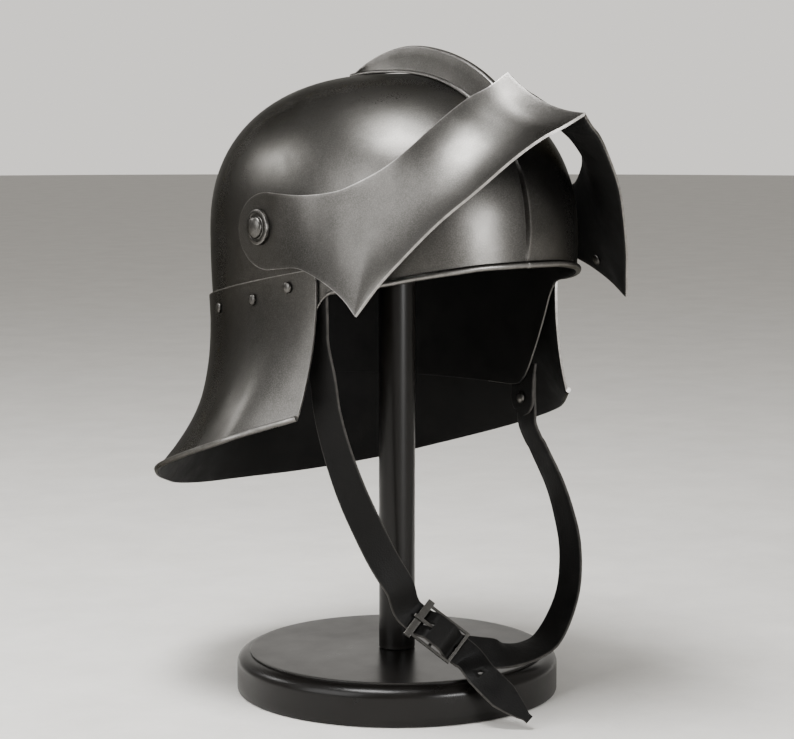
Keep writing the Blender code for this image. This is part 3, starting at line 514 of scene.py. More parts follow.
def rimRing(around, steps):
    turns = (around - 0.5, around, around + 0.5)
    before, edge, after = [skullAt(turn, rimHeight(turn)) for turn in turns]
    normal = skullNormal(around, rimHeight(around))
    return rolledEdge(edge, normal, after - before, rimRadius(around), skullShape["wall"], steps)


def makeSkull():
    crown, wall, waist = pick(skullShape, "crown wall waist")
    half = [0.0, 0.3, 0.8] + list(np.arange(1.5, 62.0, 1.5))
    half += list(np.arange(62.5, 90.0, 0.7))
    half += list(np.linspace(90.5, 180.0, 44))
    columns = half + [360.0 - angle for angle in reversed(half[1:-1])]
    turns = [turnFrom(around) for around in columns]
    feet = [rimHeight(around) for around in columns]
    outerRows, innerRows, rimSteps = 44, 30, 10
    # a thin line along the front crease: rubbed bright, and painted highlight on the crease's edge, fading
    # out where the crease does
    ridgeWearAndGlint = [max(0.0, 1.0 - turn / 0.7) for turn in turns]  # rubbed on the crease's own line
    rings, wearAndGlint = [], []
    for row in reversed(range(1, outerRows)):
        rise = math.sin(0.5 * math.pi * row / outerRows)
        heights = [foot + (crown - foot) * rise for foot in feet]
        rings.append([skullAt(around, height) for around, height in zip(columns, heights)])
        bareAndGlint = [1.0 - fade(height, waist + 0.03, waist + 0.055) for height in heights]
        wearAndGlint.append([0.40 * wornAndGlint * share for wornAndGlint, share in zip(ridgeWearAndGlint, bareAndGlint)])
    rims = [rimRing(around, rimSteps) for around in columns]
    for step in range(rimSteps + 1):
        rings.append([rim[step] for rim in rims])
        # a thin stripe along the crown of the rolled rim: painted highlight line with some rubbed wear, gone
        # behind the ears
        middle = math.exp(-((step - 0.36 * rimSteps) / (0.17 * rimSteps)) ** 2)
        wearAndGlint.append([0.42 * middle * (1.0 - fade(turn, 70.0, 92.0)) for turn in turns])
    turnAt = len(rings) - 1
    for row in range(1, innerRows):
        rise = math.sin(0.5 * math.pi * row / innerRows)
        heights = [foot + (crown - wall - foot) * rise for foot in feet]
        rings.append([skullAt(around, height, -wall) for around, height in zip(columns, heights)])
        wearAndGlint.append([0.0] * len(columns))
    # behind the ears the whole rolled edge takes the near-black inner finish: painted shade where it sits
    # under the neck guard
    behind = [96.0 < around < 264.0 for around in columns]
    item = skin("skullSkin", rings, [plateSteel, plateInsideShade], wearAndGlint=wearAndGlint,
                inside=lambda row, place: row >= turnAt - (rimSteps if behind[place] else 2))
    for vertex in item.data.vertices[-2:]:
        below = wall if vertex.co.z < crown - 0.5 * wall else 0.0
        vertex.co = (0.0, 0.0, crown - below)
    cutOut(item, [pivotBore()])
    dress(item, "helmet", "skull")


# comb: the keel plate along the crown, with a foot line and a rounded top
combShape = {
    "back": 0.040,
    "front": 0.104,
    "height": 0.0165,
    "root": 0.0044,
    "top": 0.0022,
    "flange": 0.0016,
    "flangeHeight": 0.0022,
}

# Height of a dome with this top, at a share of its reach.
def domeAt(share, top):
    waist, dome = skullShape["waist"], skullShape["domePower"]
    return waist + (top - waist) * (1.0 - min(share, 1.0) ** dome) ** (1.0 / dome)


# Height of the skull's outer face on its middle line, back from the axis.
def crownLine(back):
    length = skullShape["rear"] if back > 0 else skullShape["front"]
    return domeAt(abs(back) / length, skullShape["crown"])


def makeComb():
    stations, small = 90, 0.0005
    gap, out = fits["gap"], np.array((1.0, 0.0, 0.0))
    flange, lip, root, tip = pick(combShape, "flange flangeHeight root top")
    foot, waist = root + flange, tip + (root - tip) * 0.35
    rings, wearAndGlint = [], []
    for station in range(stations + 1):
        share = station / stations
        back = combShape["back"] - (combShape["back"] + combShape["front"]) * share
        seat = np.array((0.0, back, crownLine(back)))
        run = unit(np.array((0.0, -2 * small, crownLine(back - small) - crownLine(back + small))))
        normal = np.array((0.0, run[2], -run[1]))
        rise = math.sin(0.5 * math.pi * min(share / 0.46, 1.0)) ** 0.9
        rise *= 1.0 - fade(share, 0.84, 1.0) * 0.86
        height = lip + 0.0006 + (combShape["height"] - lip) * rise
        crest = gap + height
        half = [
            (foot, 1.6 * gap, 0.0), (foot, lip * 0.55, 0.15), (foot - flange * 0.2, lip * 0.85, 0.35),
            (foot - flange * 0.5, lip, 0.15), (root, lip + 0.0002, 0.0),
            (root - 0.3 * (root - waist), lip + 0.12 * height, 0.0), (waist, gap + height * 0.62, 0.0),
            (tip, crest - tip * 0.55, 0.15), (tip * 0.94, crest - tip * 0.25, 0.55),
            (tip * 0.6, crest, 0.65), (tip * 0.2, crest, 0.20),
        ]
        ring = [seat + out * x + normal * y for x, y, wornAndGlint in half]
        ring += [seat - out * x + normal * y for x, y, wornAndGlint in reversed(half)]
        rings.append(ring)
        wearAndGlint.append([wornAndGlint for x, y, wornAndGlint in half + half[::-1]])
    item = skin("combSkin", rings, [plateSteel], ends="ladder", wearAndGlint=wearAndGlint, sharpAngle=40.0)
    dress(item, "helmet", "comb")


# neck guard: the plate round the sides and back, flared to the tail
guardShape = {
    "wall": 0.0015,
    "gap": 0.0008,
    "frontAhead": 0.043,
    "topHeight": 0.2615,
    "topSlope": 0.185,
    "frontFoot": 0.183,
    "tailFoot": 0.1122,
    "flare": 0.040,
    "flarePower": 2.1,
    "corner": 0.009,
    "bead": 0.0017,
}

# angle round from the front in degrees, share of the flare
flareRun = [
    (70, 0.450), (76, 0.590), (83, 0.830), (90, 1.060), (98, 1.200), (110, 1.260),
    (125, 1.080), (140, 0.900), (160, 0.890), (180, 0.960),
]

# Heights of the neck guard's upper and lower edge at an angle round the skull.
def guardEdges(around):
    front, corner, frontFoot, tailFoot = pick(guardShape, "frontAhead corner frontFoot tailFoot")
    back = skullAt(around, skullShape["waist"])[1]
    top = guardShape["topHeight"] - guardShape["topSlope"] * back
    ahead = max(back + front, 0.0)
    if ahead < corner:
        top -= corner - math.sqrt(corner ** 2 - (corner - ahead) ** 2)
    return top, frontFoot + (tailFoot - frontFoot) * ahead / (skullShape["rear"] + front)


# Point on the neck guard's outer face; drop runs from its upper edge to its foot.
def guardAt(around, drop):
    top, foot = guardEdges(around)
    seat = skullAt(around, top + (foot - top) * drop, guardShape["gap"] + guardShape["wall"])
    plan, shape = skullAt(around, skullShape["waist"]), skullShape["planPower"] - 1
    out = power(plan[0] / skullShape["halfWidth"], shape) / skullShape["halfWidth"]
    back = power(max(plan[1], 0.0) / skullShape["rear"], shape) / skullShape["rear"]
    flare = guardShape["flare"] * smoothColumn(flareRun, turnFrom(around))
    return seat + unit(np.array((out, back, 0.0))) * flare * drop ** guardShape["flarePower"]


def guardNormal(around, drop):
    small = 0.4
    run = guardAt(around + small, drop) - guardAt(around - small, drop)
    fall = guardAt(around, min(drop + 0.01, 1.0)) - guardAt(around, max(drop - 0.01, 0.0))
    normal = unit(np.cross(run, fall))
    plan = skullAt(around, skullShape["waist"])
    return normal if normal[:2] @ plan[:2] > 0 else -normal


def makeGuard():
    rows, beadSteps = 26, 8
    wall = guardShape["wall"]
    corner = (0.0, 0.015, 0.05, 0.10, 0.18, 0.28, 0.40, 0.55, 0.75, 1.0)
    half = [aroundFor(guardShape["frontAhead"] - guardShape["corner"] * share) for share in corner]
    half += list(np.linspace(half[-1], 180.0, 62))[1:]
    columns = half + [360.0 - angle for angle in reversed(half[:-1])]
    drops = [0.0, 0.008] + [row / rows for row in range(1, rows)]
    # thin stripe on the crown of the guard's rolled foot: painted highlight line with some rubbed wear
    beadWearAndGlint = [0.80 * math.exp(-((step - 0.3 * beadSteps) / 1.1) ** 2) for step in range(beadSteps + 1)]
    rings, wearAndGlint = [], []
    for number, around in enumerate(columns):
        outer = [guardAt(around, drop) for drop in drops]
        inner = [place - guardNormal(around, drop) * wall for place, drop in zip(outer, drops)]
        run = guardAt(around + 0.5, 1.0) - guardAt(around - 0.5, 1.0)
        foot, normal = guardAt(around, 1.0), guardNormal(around, 1.0)
        ring = outer + rolledEdge(foot, normal, run, guardShape["bead"], wall, beadSteps) + inner[::-1]
        rings.append(ring + [0.5 * (ring[-1] + ring[0])])  # an even count, for the end caps
        # front edges of the guard: rubbed bright, with a painted faint edge highlight
        end = min(number, len(columns) - 1 - number)
        side = (0.70, 0.20, 0.0)[min(end, 2)]
        wornAndGlint = [1.0] + [side] * (len(drops) - 1) + [max(side, value) for value in beadWearAndGlint]
        wornAndGlint += [0.6 if end == 0 or row == len(drops) - 1 else 0.0 for row in range(len(drops))]
        wearAndGlint.append(wornAndGlint + [0.8])
    first = len(drops) + beadSteps - 1
    item = skin("neckGuardSkin", rings, [plateSteel, plateInsideShade], ends="ladder", wearAndGlint=wearAndGlint,
                inside=lambda row, place: first <= place < first + len(drops) - 1)
    dress(item, "helmet", "neck_guard")


neckRivets = {"radius": 0.0034, "height": 0.0019, "inset": 0.0090}

# ahead of the axis as a share of the rear length, share of the inset
neckRivetRun = [(0.153, 0.90), (-0.090, 1.25), (-0.430, 1.25), (-1.000, 1.25)]


def makeNeckRivets():
    half = [(aroundFor(ahead * skullShape["rear"]), share) for ahead, share in neckRivetRun]
    rivets = half + [(360.0 - around, share) for around, share in reversed(half[:-1])]
    for number, (around, share) in enumerate(rivets, start=1):
        top, foot = guardEdges(around)
        drop = share * neckRivets["inset"] / (top - foot)
        normal = guardNormal(around, drop)
        seat = guardAt(around, drop) + normal * 1.6 * fits["gap"]
        profile = domeRows(neckRivets["radius"], neckRivets["height"])
        item = turned("neckRivetHead%d" % number, profile, seat, normal, rivetSteel, 32)
        dress(item, "helmet", "neck_rivet_%d" % number)


# visor: the prow with its two arms, hinged on the skull's sides
visorShape = {
    "pivotHeight": 0.292,
    "pivotAhead": 0.003,
    "standoff": 0.0062,
    "wall": 0.0016,
    "reach": 0.1692,
    "rise": 0.0898,
    "dish": 0.0086,
    "armEnd": 0.0188,
    "studRadius": 0.0034,
    "studHeight": 0.0016,
    "studAt": (9.7, 0.83),
}

# out, ahead and up of the upper edge, then of the lower edge, then the dish, all as shares
visorRun = [
    (0.000, 0.612, 1.000, 0.000, 1.000, 0.749, 0.64),
    (0.126, 0.600, 0.907, 0.101, 0.968, 0.672, 0.84),
    (0.251, 0.592, 0.842, 0.210, 0.937, 0.601, 0.88),
    (0.405, 0.597, 0.743, 0.347, 0.891, 0.472, 0.77),
    (0.528, 0.587, 0.637, 0.525, 0.828, 0.269, 0.63),
    (0.609, 0.569, 0.550, 0.684, 0.749, 0.069, 0.51),
    (0.677, 0.540, 0.469, 0.839, 0.666, -0.175, 0.42),
    (0.733, 0.505, 0.401, 0.918, 0.616, -0.322, 0.35),
    (0.777, 0.467, 0.351, 1.000, 0.564, -0.507, 0.29),
    (0.831, 0.416, 0.295, 0.995, 0.497, -0.419, 0.20),
    (0.874, 0.366, 0.254, 0.995, 0.422, -0.350, 0.10),
    (0.922, 0.290, 0.228, 0.997, 0.334, -0.290, 0.04),
    (0.968, 0.213, 0.218, 1.000, 0.236, -0.248, 0.00),
    (1.000, 0.130, 0.223, 1.000, 0.130, -0.263, 0.00),
    (1.000, 0.059, 0.228, 1.000, 0.059, -0.278, 0.00),
]
visorTipRow = 8
keelBlend = 1.6

# Distance of the visor arms' outer face from the middle plane.
def armSpan():
    return skullAt(90.0, visorShape["pivotHeight"])[0] + visorShape["standoff"] + visorShape["wall"]


# Upper edge, lower edge and dish of the visor's left half at a place along its run.
def visorEdges(place):
    last = len(visorRun) - 1.0
    edge = (armSpan(), visorShape["reach"], visorShape["rise"])
    row = smoothRun(visorRun, place, visorTipRow, (3, 4, 5)) * np.array((*edge, *edge, visorShape["dish"]))
    upper, lower = row[0:3], row[3:6]
    if place > last:  # the arm's round end
        angle = 0.5 * math.pi * (1.0 - (place - last))
        middle, half = 0.5 * (upper[2] + lower[2]), 0.5 * (upper[2] - lower[2])
        back = upper[1] - (upper[1] + visorShape["armEnd"]) * math.cos(angle)
        upper[1], lower[1] = back, back
        upper[2], lower[2] = middle + half * math.sin(angle), middle - half * math.sin(angle)
    return upper, lower, row[6]


# Point of the visor's outer face; across runs from the upper to the lower edge.
def visorAt(place, across):
    side = -1.0 if place < 0 else 1.0
    upper, lower, dish = visorEdges(abs(place))
    before = visorEdges(max(abs(place) - 0.2, 0.0))
    after = visorEdges(abs(place) + 0.2) if abs(place) < len(visorRun) - 1.2 else (upper, lower)
    away = fade(abs(place), 0.0, keelBlend)
    run = unit((after[0] + after[1]) - (before[0] + before[1])) * away
    run += np.array((1.0 - away, 0.0, 0.0))
    chord = lower - upper
    inward = np.cross(chord, run)
    if np.linalg.norm(inward) > 1e-9:
        inward = unit(inward)
        if inward @ (upper + lower) > 0:
            inward = -inward
    sag = dish * 4.0 * across * (1.0 - across)
    out, ahead, up = upper + chord * across + inward * sag
    return np.array((side * out, -ahead, visorShape["pivotHeight"] + up))


def makeVisor():
    last = len(visorRun) - 1
    armEnds = (0.06, 0.13, 0.20, 0.28, 0.36, 0.44, 0.52, 0.60, 0.68, 0.76, 0.83, 0.89, 0.94, 0.975)
    half = list(np.linspace(0.0, last, last * 8 + 1)) + [last + share for share in armEnds]
    places = [-place for place in reversed(half[1:])] + half
    across = [0.0, 0.012] + [row / 20 for row in range(1, 20)] + [0.988, 1.0]
    edge = [1.0, 0.10] + [0.0] * (len(across) - 4) + [0.10, 1.0]
    grid = np.array([[visorAt(place, share) for share in across] for place in places])
    grid[len(places) // 2, :, 0] = 0.0
    normals = np.cross(np.gradient(grid, axis=0), np.gradient(grid, axis=1))
    normals /= np.maximum(np.linalg.norm(normals, axis=2, keepdims=True), 1e-12)
    middle = grid.mean(axis=1) - np.array((0.0, 0.0, visorShape["pivotHeight"]))
    for column, place in enumerate(places):
        if normals[column].mean(axis=0) @ middle[column] < 0:
            normals[column] = -normals[column]
        if abs(place) > last - 2:
            normals[column] = (math.copysign(1.0, place), 0.0, 0.0)
    inner = grid - normals * visorShape["wall"]
    rings, wearAndGlint = [], []
    for column, place in enumerate(places):
        rings.append(list(grid[column]) + list(inner[column][::-1]))
        end = min(column, len(places) - 1 - column)
        keel = 0.35 * max(0.0, 1.0 - abs(place) / 0.12)
        rim = (1.0, 0.5, 0.1, 0.0)[min(end, 3)]
        outside = [max(value, rim, keel) for value in edge]
        wearAndGlint.append(outside + [0.8 * max(value, rim if end < 1 else 0.0) for value in edge])
    count = len(across)
    item = skin("visorSkin", rings, [plateSteel, plateInsideShade], ends="ladder", wearAndGlint=wearAndGlint,
                inside=lambda row, place: count <= place < 2 * count - 1)
    cutOut(item, [pivotBore()])
    dress(item, "visor", "visor")


# stud on the inner face of the visor's left half
def makeStud():
    place, across = visorShape["studAt"]
    small = 0.05
    run = visorAt(place + small, across) - visorAt(place - small, across)
    fall = visorAt(place, across + small) - visorAt(place, across - small)
    inward = unit(np.cross(run, fall))
    if inward[0] > 0:
        inward = -inward
    seat = visorAt(place, across) + inward * (visorShape["wall"] + 1.3 * fits["gap"])
    profile = domeRows(visorShape["studRadius"], visorShape["studHeight"])
    stud = turned("visorStudHead", profile, seat, inward, rivetSteel, 32)
    dress(stud, "visor", "visor_stud")


# pivots: spacer, round plate and domed head on each side
pivotShape = {
    "shank": 0.0032,
    "washer": 0.0125,
    "plate": 0.0105,
    "plateThickness": 0.0024,
    "dome": 0.0066,
    "domeHeight": 0.0036,
    "peen": 0.0062,
    "peenThickness": 0.0014,
    "ease": 0.0004,
}


def pivotSeat():
    return (0.0, -visorShape["pivotAhead"], visorShape["pivotHeight"])


# The hole for the pivots' shanks, through both sides.
def pivotBore():
    reach, bore = armSpan() + 0.010, pivotShape["shank"] + fits["turning"]
    return turned("pivotHole", [(bore, -reach), (bore, reach)], pivotSeat(), (1, 0, 0), plateSteel, 32)


def makePivots():
    shank, washer, rim, thick = pick(pivotShape, "shank washer plate plateThickness")
    dome, peen, deep, ease = pick(pivotShape, "dome peen peenThickness ease")
    gap, height = fits["gap"], visorShape["pivotHeight"]
    inner, outer = skullAt(90.0, height)[0] + gap, armSpan() - visorShape["wall"] - gap
    spacer = [
        (shank + gap, inner), (washer - ease, inner), (washer, inner + ease),
        (washer, outer - ease), (washer - ease, outer, 0.6), (shank + gap, outer),
    ]
    inside = skullAt(90.0, height + peen)[0] - skullShape["wall"] - 4 * gap
    plate = armSpan() + gap
    top = plate + thick
    head = [
        (peen * 0.7, inside - deep), (peen * 0.9, inside - deep * 0.85), (peen, inside - deep * 0.5),
        (peen, inside), (shank, inside), (shank, plate), (rim, plate), (rim, top - thick * 0.4, 0.7),
        (rim * 0.985, top - thick * 0.15, 0.8), (rim * 0.93, top, 0.3), (rim * 0.80, top),
        (rim * 0.76, top - ease), (dome * 1.06, top - ease), (dome, top, 0.1),
    ]
    button = domeRows(dome, pivotShape["domeHeight"], 10, 0.45)[1:]
    head += [(radius, top + up, wornAndGlint) for radius, up, wornAndGlint in button]
    for name, side in (("left", 1.0), ("right", -1.0)):
        axis = (side, 0.0, 0.0)
        item = turned("pivotSpacer_" + name, spacer, pivotSeat(), axis, plateSteel, 48, ends="joined")
        dress(item, "helmet", "pivot_washer_" + name)
        item = turned("pivotHead_" + name, head, pivotSeat(), axis, rivetSteel, 48)
        dress(item, "helmet", "pivot_rivet_" + name)


# chin strap: a long half with its free end and a short half that carries the buckle
strapShape = {
    "width": 0.0186,
    "wall": 0.0022,
    "foldWall": 0.0011,
    "foldWidth": 0.0130,
    "foldRivetRadius": 0.0020,
    "foldRivetHeight": 0.0010,
    "tabRadius": 0.0115,
    "tabLength": 0.034,
    "rivetRadius": 0.0036,
    "rivetHeight": 0.0018,
    "cheekAhead": 0.038,
    "tabAhead": 0.014,
    "holeRadius": 0.0018,
    "holePitch": 0.0225,
}

buckleShape = {
    "length": 0.0290,
    "wall": 0.0018,
    "bar": 0.0018,
    "prongWidth": 0.0022,
    "prongWall": 0.0011,
}

# across, ahead and height in shares, then the way the outer face looks
longRun = [
    (-0.884, 0.398, 0.719, -0.95, -0.31, 0.00),
    (-0.868, 0.418, 0.643, -0.93, -0.37, 0.00),
    (-0.823, 0.450, 0.555, -0.88, -0.46, 0.05),
    (-0.756, 0.490, 0.463, -0.80, -0.58, 0.12),
    (-0.686, 0.530, 0.388, -0.70, -0.68, 0.20),
    (-0.584, 0.580, 0.295, -0.55, -0.78, 0.28),
    (-0.500, 0.620, 0.233, -0.42, -0.84, 0.32),
    (-0.362, 0.668, 0.140, -0.31, -0.89, 0.35),
    (-0.205, 0.835, 0.073, -0.31, -0.89, 0.35),
    (-0.181, 1.030, 0.022, -0.31, -0.86, 0.42),
    (-0.111, 1.165, -0.028, -0.28, -0.88, 0.38),
    (-0.020, 1.285, -0.078, -0.25, -0.92, 0.30),
]
bucklePlace = (7, 8)
shortRun = [
    (0.985, 0.130, 0.575, -1.00, 0.05, 0.00),
    (0.990, 0.138, 0.538, -1.00, 0.08, -0.10),
    (1.042, 0.190, 0.473, -1.00, 0.08, -0.15),
    (1.090, 0.280, 0.392, -1.00, 0.05, -0.10),
    (1.085, 0.380, 0.316, -1.00, 0.00, 0.05),
    (1.047, 0.480, 0.242, -0.95, 0.00, 0.30),
    (0.945, 0.585, 0.156, -0.85, -0.05, 0.50),
    (0.795, 0.670, 0.092, -0.65, -0.15, 0.75),
    (0.610, 0.745, 0.042, -0.35, -0.30, 0.90),
    (0.420, 0.800, 0.029, -0.12, -0.40, 0.92),
    (0.230, 0.835, 0.032, -0.15, -0.60, 0.78),
]
# along and across in shares of the buckle's length, depth as a share of the layer's
foldIn = [
    (1.20, 0.560, 2.30), (1.00, 0.400, 1.75), (0.84, 0.270, 1.36), (0.68, 0.150, 1.12),
    (0.54, 0.060, 1.00), (0.41, 0.01, 1.00), (0.31, 0.00, 1.00), (0.235, 0.00, 1.00),
    (0.165, 0.00, 0.95), (0.09, 0.00, 0.72),
]
foldBack = [
    (0.10, 0.00, -0.10), (0.155, 0.00, 0.50), (0.205, 0.00, 0.93), (0.26, 0.00, 1.00),
    (0.36, 0.00, 1.00), (0.45, 0.02, 1.00),
]

# Turns a strap's table into places and facing directions.
def strapRoute(rows):
    base = np.array((0.0, 0.0, standShape["baseThickness"]))
    scale = np.array((skullShape["halfWidth"], -standShape["baseRadius"], skullShape["brow"] - base[2]))
    return [(*(base + scale * row[:3]), *row[3:]) for row in rows]


# Middle of the buckle with its run, its width and its facing directions.
def buckleFrame():
    route = np.array(strapRoute(longRun))
    front, rear = route[bucklePlace[0]], route[bucklePlace[1]]
    middle = 0.5 * (front[:3] + rear[:3])
    run = unit(rear[:3] - front[:3])
    face = 0.5 * (front[3:] + rear[3:])
    face = unit(face - run * (face @ run))
    return middle, run, np.cross(face, run), face


# Places, runs and faces along a smooth strap, closer together where dense says so.
def strapSections(points, spacing, dense=None):
    fine = np.array([smoothRun(points, at) for at in np.linspace(0, len(points) - 1, 900)])
    pieces = np.linalg.norm(np.diff(fine[:, :3], axis=0), axis=1)
    lengths = np.concatenate([[0.0], np.cumsum(pieces)])
    pace = np.ones(len(fine))
    for index, place in enumerate(fine[:, :3]):
        ends = min(lengths[index], lengths[-1] - lengths[index])
        pace[index] = 0.5 if ends < strapShape["width"] else 1.0
        if dense is not None and np.linalg.norm(place - dense) < 0.8 * buckleShape["length"]:
            pace[index] = 0.3
    counts = np.concatenate([[0.0], np.cumsum(pieces / (spacing * 0.5 * (pace[1:] + pace[:-1])))])
    total = int(round(counts[-1])) + 1
    marks = np.interp(np.linspace(0.0, counts[-1], total), counts, lengths)
    even = np.array([[np.interp(mark, lengths, fine[:, axis]) for axis in range(6)] for mark in marks])
    return marks, even[:, :3], *strapDirections(even[:, :3], even[:, 3:])


# Unit runs along the places, and the faces made square to them.
def strapDirections(places, faces):
    runs = np.gradient(places, axis=0)
    runs /= np.linalg.norm(runs, axis=1, keepdims=True)
    faces = faces - runs * np.sum(faces * runs, axis=1, keepdims=True)
    faces /= np.linalg.norm(faces, axis=1, keepdims=True)
    return runs, faces


# Strap width along its length, with a round start and a rounded point at the end.
def endWidths(marks, pointEnd=0.0):
    full, widths = strapShape["width"], []
    for mark in marks:
        width = full
        left = marks[-1] - mark
        if mark < 0.5 * full:
            width = 2 * math.sqrt(max((0.5 * full) ** 2 - (0.5 * full - mark) ** 2, 0.0))
        if left < pointEnd:
            width = full * (left / pointEnd) ** 0.62
        widths.append(max(width, 0.30 * full))
    return widths


# Strap places beside the skull's plate; way turns the faces outward or inward.
def cheekRows(around, heights, stand, way):
    return [(*skullAt(around, height, stand), *(way * skullNormal(around, height))) for height in heights]


# Places on the skull's inner face behind the left brow, where the long strap starts.
def longStrapTop():
    stand = -(skullShape["wall"] + fits["gap"] + 0.0008 + 0.5 * strapShape["wall"])
    heights = [skullShape["brow"] - drop for drop in (0.008, 0.020, 0.034, 0.048)]
    return cheekRows(-aroundFor(strapShape["cheekAhead"]), heights, stand, 1.0)


# Heights over the buckle's middle plane: fold round the bar, strap over and under, fold's flap.
def buckleLevels():
    gap, wall, thin = fits["gap"], strapShape["wall"], strapShape["foldWall"]
    corner = 0.5 * math.hypot(buckleShape["bar"], buckleShape["wall"])
    prong = corner + fits["turning"] + buckleShape["prongWall"]
    fold = corner + gap + 0.5 * thin
    over = max(prong, fold + 0.5 * thin) + gap + 0.5 * wall
    under = -(0.5 * buckleShape["wall"] + gap + 0.5 * wall)
    return fold, over, under, under - 0.5 * wall - 1.5 * gap - 0.5 * thin


# Places on the outside of the right cheek's tab, where the short strap starts.
def shortStrapTop():
    stand = 4 * fits["gap"] + 1.5 * strapShape["wall"]
    heights = [skullShape["brow"] - skullShape["earDrop"] + rise for rise in (0.012, 0.000)]
    return cheekRows(aroundFor(strapShape["tabAhead"]), heights, stand, -1.0)


# flat strap with eased edges, paler where the leather is cut
def band(name, places, runs, faces, walls, widths):
    rings, wearAndGlint = [], []
    for place, run, face, wall, width in zip(places, runs, faces, walls, widths):
        side = np.cross(face, run)
        half, deep, ease = 0.5 * width, 0.5 * wall, 0.35 * wall
        edge = [
            (half, 0.25 * deep, 1.0), (half - 0.3 * ease, 0.72 * deep, 0.75),
            (half - ease, deep * 0.97, 0.25), (half * 0.90, deep, 0.0), (half * 0.45, deep, 0.0),
        ]
        upper = [(-out, up, wornAndGlint) for out, up, wornAndGlint in edge] + edge[::-1]
        section = upper + [(out, -up, wornAndGlint) for out, up, wornAndGlint in reversed(upper)]
        rings.append([place + side * out + face * up for out, up, wornAndGlint in section])
        wearAndGlint.append([0.7 * wornAndGlint for out, up, wornAndGlint in section])
    return skin(name, rings, [strapLeather], ends="ladder", wearAndGlint=wearAndGlint, sharpAngle=50.0)


def boxTool(middle, axes, sizes):
    corners = ((-0.5, -0.5), (0.5, -0.5), (0.5, 0.5), (-0.5, 0.5))
    along, side, up = [axis * size for axis, size in zip(axes, sizes)]
    rings = [[middle + along * end + side * x + up * y for x, y in corners] for end in (-0.5, 0.5)]
    return skin("boxTool", rings, [strapLeather], ends="ladder")


def makeLongStrap():
    middle, run, side, face = buckleFrame()
    over, under = buckleLevels()[1:3]
    length, wall = buckleShape["length"], strapShape["wall"]
    marks, places, runs, faces = strapSections(longStrapTop() + strapRoute(longRun), 0.0028, middle)
    along = (places - middle) @ run
    near = np.linalg.norm(places - middle, axis=1) < 1.4 * length
    for index in np.nonzero(near)[0]:  # straight through the buckle, over one bar and under the other
        reach = abs(along[index])
        lift = over + (under - over) * fade(reach, 0.16 * length, 0.41 * length)
        hold = 1.0 - fade(reach, 0.62 * length, 1.20 * length)
        straight = middle + run * along[index] + face * lift
        places[index] = places[index] * (1.0 - hold) + straight * hold
        faces[index] = faces[index] * (1.0 - hold) + face * hold
    runs, faces = strapDirections(places, faces)
    strap = band("longStrap", places, runs, faces, [wall] * len(marks), endWidths(marks, 0.021))
    sizes = (0.19 * length, buckleShape["prongWidth"] + 2 * fits["turning"], 6 * wall)
    tools = [boxTool(middle - run * 0.265 * length, (run, side, face), sizes)]
    slotAt = int(np.argmin(np.where(near, np.abs(along + 0.30 * length), 1.0)))
    for number in (1, 2):
        mark = marks[slotAt] + strapShape["holePitch"] * number
        seat = np.array([np.interp(mark, marks, places[:, axis]) for axis in range(3)])
        way = faces[int(np.argmin(np.abs(marks - mark)))]
        hole = [(strapShape["holeRadius"], deep) for deep in (-2 * wall, 2 * wall)]
        tools.append(turned("holeTool", hole, seat, way, strapLeather, 24))
    cutOut(strap, tools)
    dress(strap, "helmet", "strap_long")


def makeShortStrap():
    middle, run, side, face = buckleFrame()
    fold, flap = buckleLevels()[0::3]
    length, gap = buckleShape["length"], fits["gap"]
    wall, thinWall = strapShape["wall"], strapShape["foldWall"]
    width, thinWidth = strapShape["width"], strapShape["foldWidth"]
    lower = flap - thinWall - gap

    def local(along, across, up):
        return middle + (run * along + side * across) * length + face * up

    entry = [(*local(along, across, lower * share), *face) for along, across, share in foldIn[:5]]
    points = shortStrapTop() + strapRoute(shortRun) + entry
    marks, places, runs, faces = strapSections(points, 0.0034)
    places, faces = list(places), list(faces)
    walls, widths = [wall] * len(places), endWidths(marks)
    for index, mark in enumerate(marks):
        left = 1.0 - fade(marks[-1] - mark, 0.006, 0.020)
        walls[index] = wall + (thinWall - wall) * left
        if mark >= 0.05:
            widths[index] = width
        if mark > 0.05:
            places[index] = places[index] - faces[index] * 0.5 * (wall - thinWall) * (1.0 - left)
    for along, across, share in foldIn[5:]:
        places.append(local(along, across, lower * share))
        faces.append(face)
    for turn in (-90, -112, -135, -157, 180, 157, 135, 112, 90, 67, 45):
        out = run * math.cos(math.radians(turn)) + face * math.sin(math.radians(turn))
        places.append(middle + out * fold)
        faces.append(-out)
    for along, across, share in foldBack:
        places.append(local(along, across, flap * share))
        faces.append(-face)
    for place in places[len(walls):]:
        away = (place - middle) @ run / length
        walls.append(thinWall)
        widths.append(thinWidth + (width - thinWidth) * fade(away, 0.25, 0.45))
    runs, faces = strapDirections(np.array(places), np.array(faces))
    strap = band("shortStrap", places, runs, faces, walls, widths)
    deep = 2 * (fold + 2 * thinWall)
    sizes = (1.10 * deep, buckleShape["prongWidth"] + 2 * fits["turning"], 1.45 * deep)
    cutOut(strap, [boxTool(middle, (run, side, face), sizes)])
    dress(strap, "helmet", "strap_short")
    seat = middle + run * 0.305 * length + face * (flap + 0.5 * thinWall + gap)
    profile = domeRows(strapShape["foldRivetRadius"], strapShape["foldRivetHeight"], 6)
    rivet = turned("foldRivetHead", profile, seat, face, buckleSteel, 24)
    dress(rivet, "helmet", "fold_rivet")


